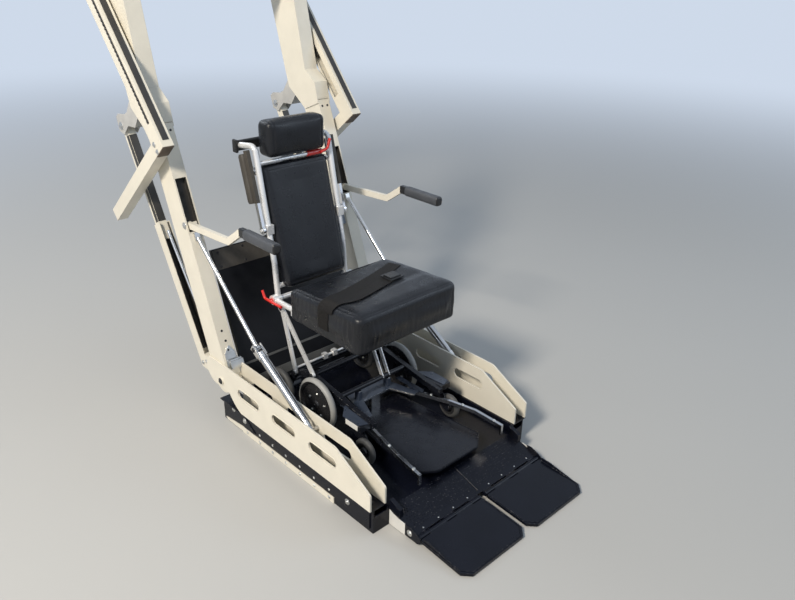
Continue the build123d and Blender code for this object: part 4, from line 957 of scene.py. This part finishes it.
def seat_shape(co, normal):
    """Front roll and shallow dish on top, seam grooves, and creases down the sides."""
    move = Vector((0, 0, 0))
    top = max(0.0, normal.z)
    inner = max(0.0, 1 - (abs(co.x) / 0.19) ** 4)
    if top > 0.3:
        ridge = -0.030 + 0.022 * math.sin((co.x + 0.06) * 9.0)
        dish = min(1.0, max(0.0, (co.y - ridge) / 0.050))
        dish *= dish * (3 - 2 * dish)
        sag = min(1.0, max(0.0, (co.y - 0.10) / 0.14))
        move.z -= top * (0.0125 * dish * inner * (1 - 0.5 * sag) + 0.0070 * sag)
        move.z += top * 0.0016 * noise.noise(Vector((co.x * 11, co.y * 16, 3.0)))
    side = 1 - min(1.0, abs(normal.z) * 1.6)
    if side > 0 and co.z > seat_low + 0.006:
        hang = math.sin(math.pi * min(1.0, max(0.0, (co.z - seat_low) / (seat_high - seat_low))))
        around = co.y if abs(normal.x) > abs(normal.y) else co.x
        if abs(normal.x) > abs(normal.y):
            corner = min(abs(co.y - seat_front), abs(co.y - seat_rear))
        else:
            corner = min(abs(co.x - seat_half), abs(co.x + seat_half))
        near = math.exp(-((corner - 0.045) / 0.045) ** 2)
        waves = noise.noise(Vector((around * 95, co.z * 13, 7.0 if co.x < 0 else 2.0)))
        fine = noise.noise(Vector((around * 190, co.z * 22, 5.0)))
        move += normal * side * hang * (0.0026 * near * waves + 0.0011 * near * fine + 0.0005 * waves)
    for x in (-1, 1):
        upright = math.hypot(co.x - x * (seat_half - 0.004), co.y - (seat_front + 0.020))
        if side > 0.2:
            move += normal * groove(upright, 0.0022, 0.0032)
    rim_x = abs(co.x) - (seat_half - 0.020)
    rim_y = max(seat_front + 0.018 - co.y, co.y - (seat_rear - 0.018))
    if 0.25 < normal.z < 0.97:
        move += normal * groove(max(rim_x, rim_y), 0.0016, 0.0030)
    return move


sculpt(seat, seat_shape)
padded(seat, "mast", "seat_cushion")

back_run, back_rise = 0.4630 - 0.3520, 0.8900 - 0.5200
lean = math.atan2(back_run, back_rise)
back_up = Vector((0, math.sin(lean), math.cos(lean)))
back_in = Vector((0, math.cos(lean), -math.sin(lean)))
back_foot = Vector((0, 0.3520, 0.5200))
back_long = math.hypot(back_run, back_rise) + 0.006


def on_back(x, up, deep):
    """A point of the back cushion: across, up its lean, and in from its front."""
    at = back_foot + back_up * up + back_in * deep
    return (x, at.y, at.z)


back_low, back_foot_half, back_head_half, back_deep, edge_in = -0.0320, 0.1300, 0.1400, 0.0400, 0.0030
back_face = [(-back_foot_half, back_low), (back_foot_half, back_low),
             (back_head_half, back_long), (-back_head_half, back_long)]
back = form("back_pad", [on_back(x, up, deep) for deep in (back_deep, edge_in) for x, up in back_face],
            0.022, 0.016, 0.005, 0.0050)
swell(back, 0.0050)


def back_shape(co, normal):
    """A sewn border 19 mm in from the edge, and a soft hollow down the middle."""
    rel = co - back_foot
    up, deep = rel.dot(back_up), rel.dot(back_in)
    half = back_foot_half + (back_head_half - back_foot_half) * up / back_long
    border = min(half - abs(co.x), up - back_low, back_long - up)
    move = Vector((0, 0, 0))
    if deep < 0.012:
        move += normal * groove(border - 0.019, 0.0020, 0.0034)
        hollow = math.exp(-(co.x / 0.055) ** 2) * min(1.0, max(0.0, (border - 0.02) / 0.05))
        move += back_in * 0.0030 * hollow
        move += normal * 0.0009 * noise.noise(Vector((co.x * 14, up * 10, 1.0)))
    elif deep < 0.034:
        move += normal * groove(deep - 0.021, 0.0014, 0.0022)
    return move


sculpt(back, back_shape)
padded(back, "mast", "back_cushion")

head_half, head_front, head_rear, head_low, head_high = 0.1195, 0.4360, 0.5032, 0.9150, 1.0350
tuck = 0.0030
head_face = corners(-head_half + tuck, head_half - tuck, head_low, head_high)
rest_pad = form("headrest_pad", [(x, y, z) for y in (head_rear, head_front + tuck) for x, z in head_face],
                0.018, 0.018, 0.006, 0.0050)
swell(rest_pad, 0.0050)


def head_shape(co, normal):
    """Side seams where the front panel meets the boxing, and a slight hollow."""
    move = Vector((0, 0, 0))
    if normal.y < 0.5:
        move += normal * groove(abs(co.x) - 0.0960, 0.0022, 0.0030)
    if normal.y < -0.4:
        move.y += 0.0040 * math.exp(-(co.x / 0.060) ** 2)
    return move


sculpt(rest_pad, head_shape)
padded(rest_pad, "mast", "headrest")

# Restraint belt: 54 mm black webbing, woven in a twill, laid double over the seat
# and down its left side, with a flat moulded buckle on top.
webbing = bpy.data.materials.new("belt_webbing")
webbing.use_nodes = True
threads = webbing.node_tree
weave = wire(threads, "ShaderNodeTexWave", {
    "Scale": 210.0, "Distortion": 0.6, "Vector": wire(threads, "ShaderNodeTexCoord", {}, "Object")},
    "Fac", wave_type="BANDS", bands_direction="DIAGONAL")
twill = wire(threads, "ShaderNodeMix", {
    "A": (0.0040, 0.0036, 0.0034, 1), "B": (0.0110, 0.0090, 0.0075, 1), "Factor": weave},
    "Result", data_type="RGBA")
ribs = wire(threads, "ShaderNodeBump", {"Distance": 0.0006, "Height": weave})
feed(threads, threads.nodes["Principled BSDF"], {
    "Roughness": 0.62, "Specular IOR Level": 0.25, "Base Color": twill, "Normal": ribs})
seat_skin = BVHTree.FromPolygons([v.co for v in seat.data.vertices],
                                 [tuple(p.vertices) for p in seat.data.polygons])


def strap(name, stations, width, lift, thick=0.0016, strands=6):
    """Webbing laid on the seat: each station is an aim point, a ray and a side way."""
    bm = bmesh.new()
    lower, upper = [], []
    for origin, ray, across in stations:
        origin, ray, across = Vector(origin), Vector(ray).normalized(), Vector(across).normalized()
        points, mean = [], Vector((0, 0, 0))
        for k in range(strands + 1):
            start = origin + across * width * (k / strands - 0.5)
            hit, normal, _, _ = seat_skin.ray_cast(start, ray)
            if hit is None:
                hit, normal = start + ray * 0.2, -ray
            points.append(hit)
            mean += normal
        mean.normalize()
        lower.append([bm.verts.new(point + mean * lift) for point in points])
        upper.append([bm.verts.new(point + mean * (lift + thick)) for point in points])
    for a in range(len(stations) - 1):
        b = a + 1
        for k in range(strands):
            bm.faces.new((upper[a][k], upper[a][k + 1], upper[b][k + 1], upper[b][k]))
            bm.faces.new((lower[a][k], lower[b][k], lower[b][k + 1], lower[a][k + 1]))
        for k in (0, strands):
            bm.faces.new((lower[a][k], lower[b][k], upper[b][k], upper[a][k]))
    for end in (0, -1):
        for k in range(strands):
            bm.faces.new((lower[end][k], lower[end][k + 1], upper[end][k + 1], upper[end][k]))
    refine(piece(name, bm, "mast", "black_vinyl", webbing, smooth=50.0))


def over_seat(y_side, drop, path):
    """Stations up the left side from drop, round the top edge and along a path on top."""
    side_top, side_steps, turn_steps = 0.556, 8, 5
    stations = [((-0.30, y_side, drop + (side_top - drop) * i / side_steps), (1, 0, 0), (0, 1, 0))
                for i in range(side_steps + 1)]
    for i in range(1, turn_steps):
        a = math.radians(90 * i / turn_steps)
        aim = Vector((-0.196, y_side, 0.550))
        ray = Vector((math.cos(a), 0, -math.sin(a)))
        stations.append((tuple(aim - ray * 0.1), tuple(ray), (0, 1, 0)))
    for (x0, y0), (x1, y1) in zip(path, path[1:]):
        count = max(3, int(math.dist((x0, y0), (x1, y1)) / 0.012))
        side = (-(y1 - y0), (x1 - x0), 0)
        for i in range(count):
            t = i / count
            stations.append(((x0 + (x1 - x0) * t, y0 + (y1 - y0) * t, 0.70), (0, 0, -1), side))
    return stations


belt_path = [(-0.190, 0.053), (-0.139, 0.068), (0.009, 0.101), (0.150, 0.140), (0.190, 0.150)]
tail_path = [(-0.190, 0.030), (-0.112, 0.022), (0.020, 0.052), (0.090, 0.070)]
strap("lap_belt", over_seat(0.053, 0.478, belt_path), 0.0540, 0.0006)
strap("lap_belt_tail", over_seat(0.030, 0.545, tail_path), 0.0480, 0.0034)
buckle = bmesh.new()
hit = seat_skin.ray_cast(Vector((*tail_path[-1], 0.7)), Vector((0, 0, -1)))[0]
for lift, half_x, half_y in ((0.0052, 0.030, 0.027), (0.0090, 0.024, 0.019)):
    low = hit + Vector((-half_x, -half_y, lift))
    block(buckle, low, low + Vector((2 * half_x, 2 * half_y, 0.0045)))
bmesh.ops.bevel(buckle, geom=buckle.edges[:], offset=0.0015, segments=2, affect="EDGES")
piece("belt_buckle", buckle, "mast", "black_plastic", cap_black)
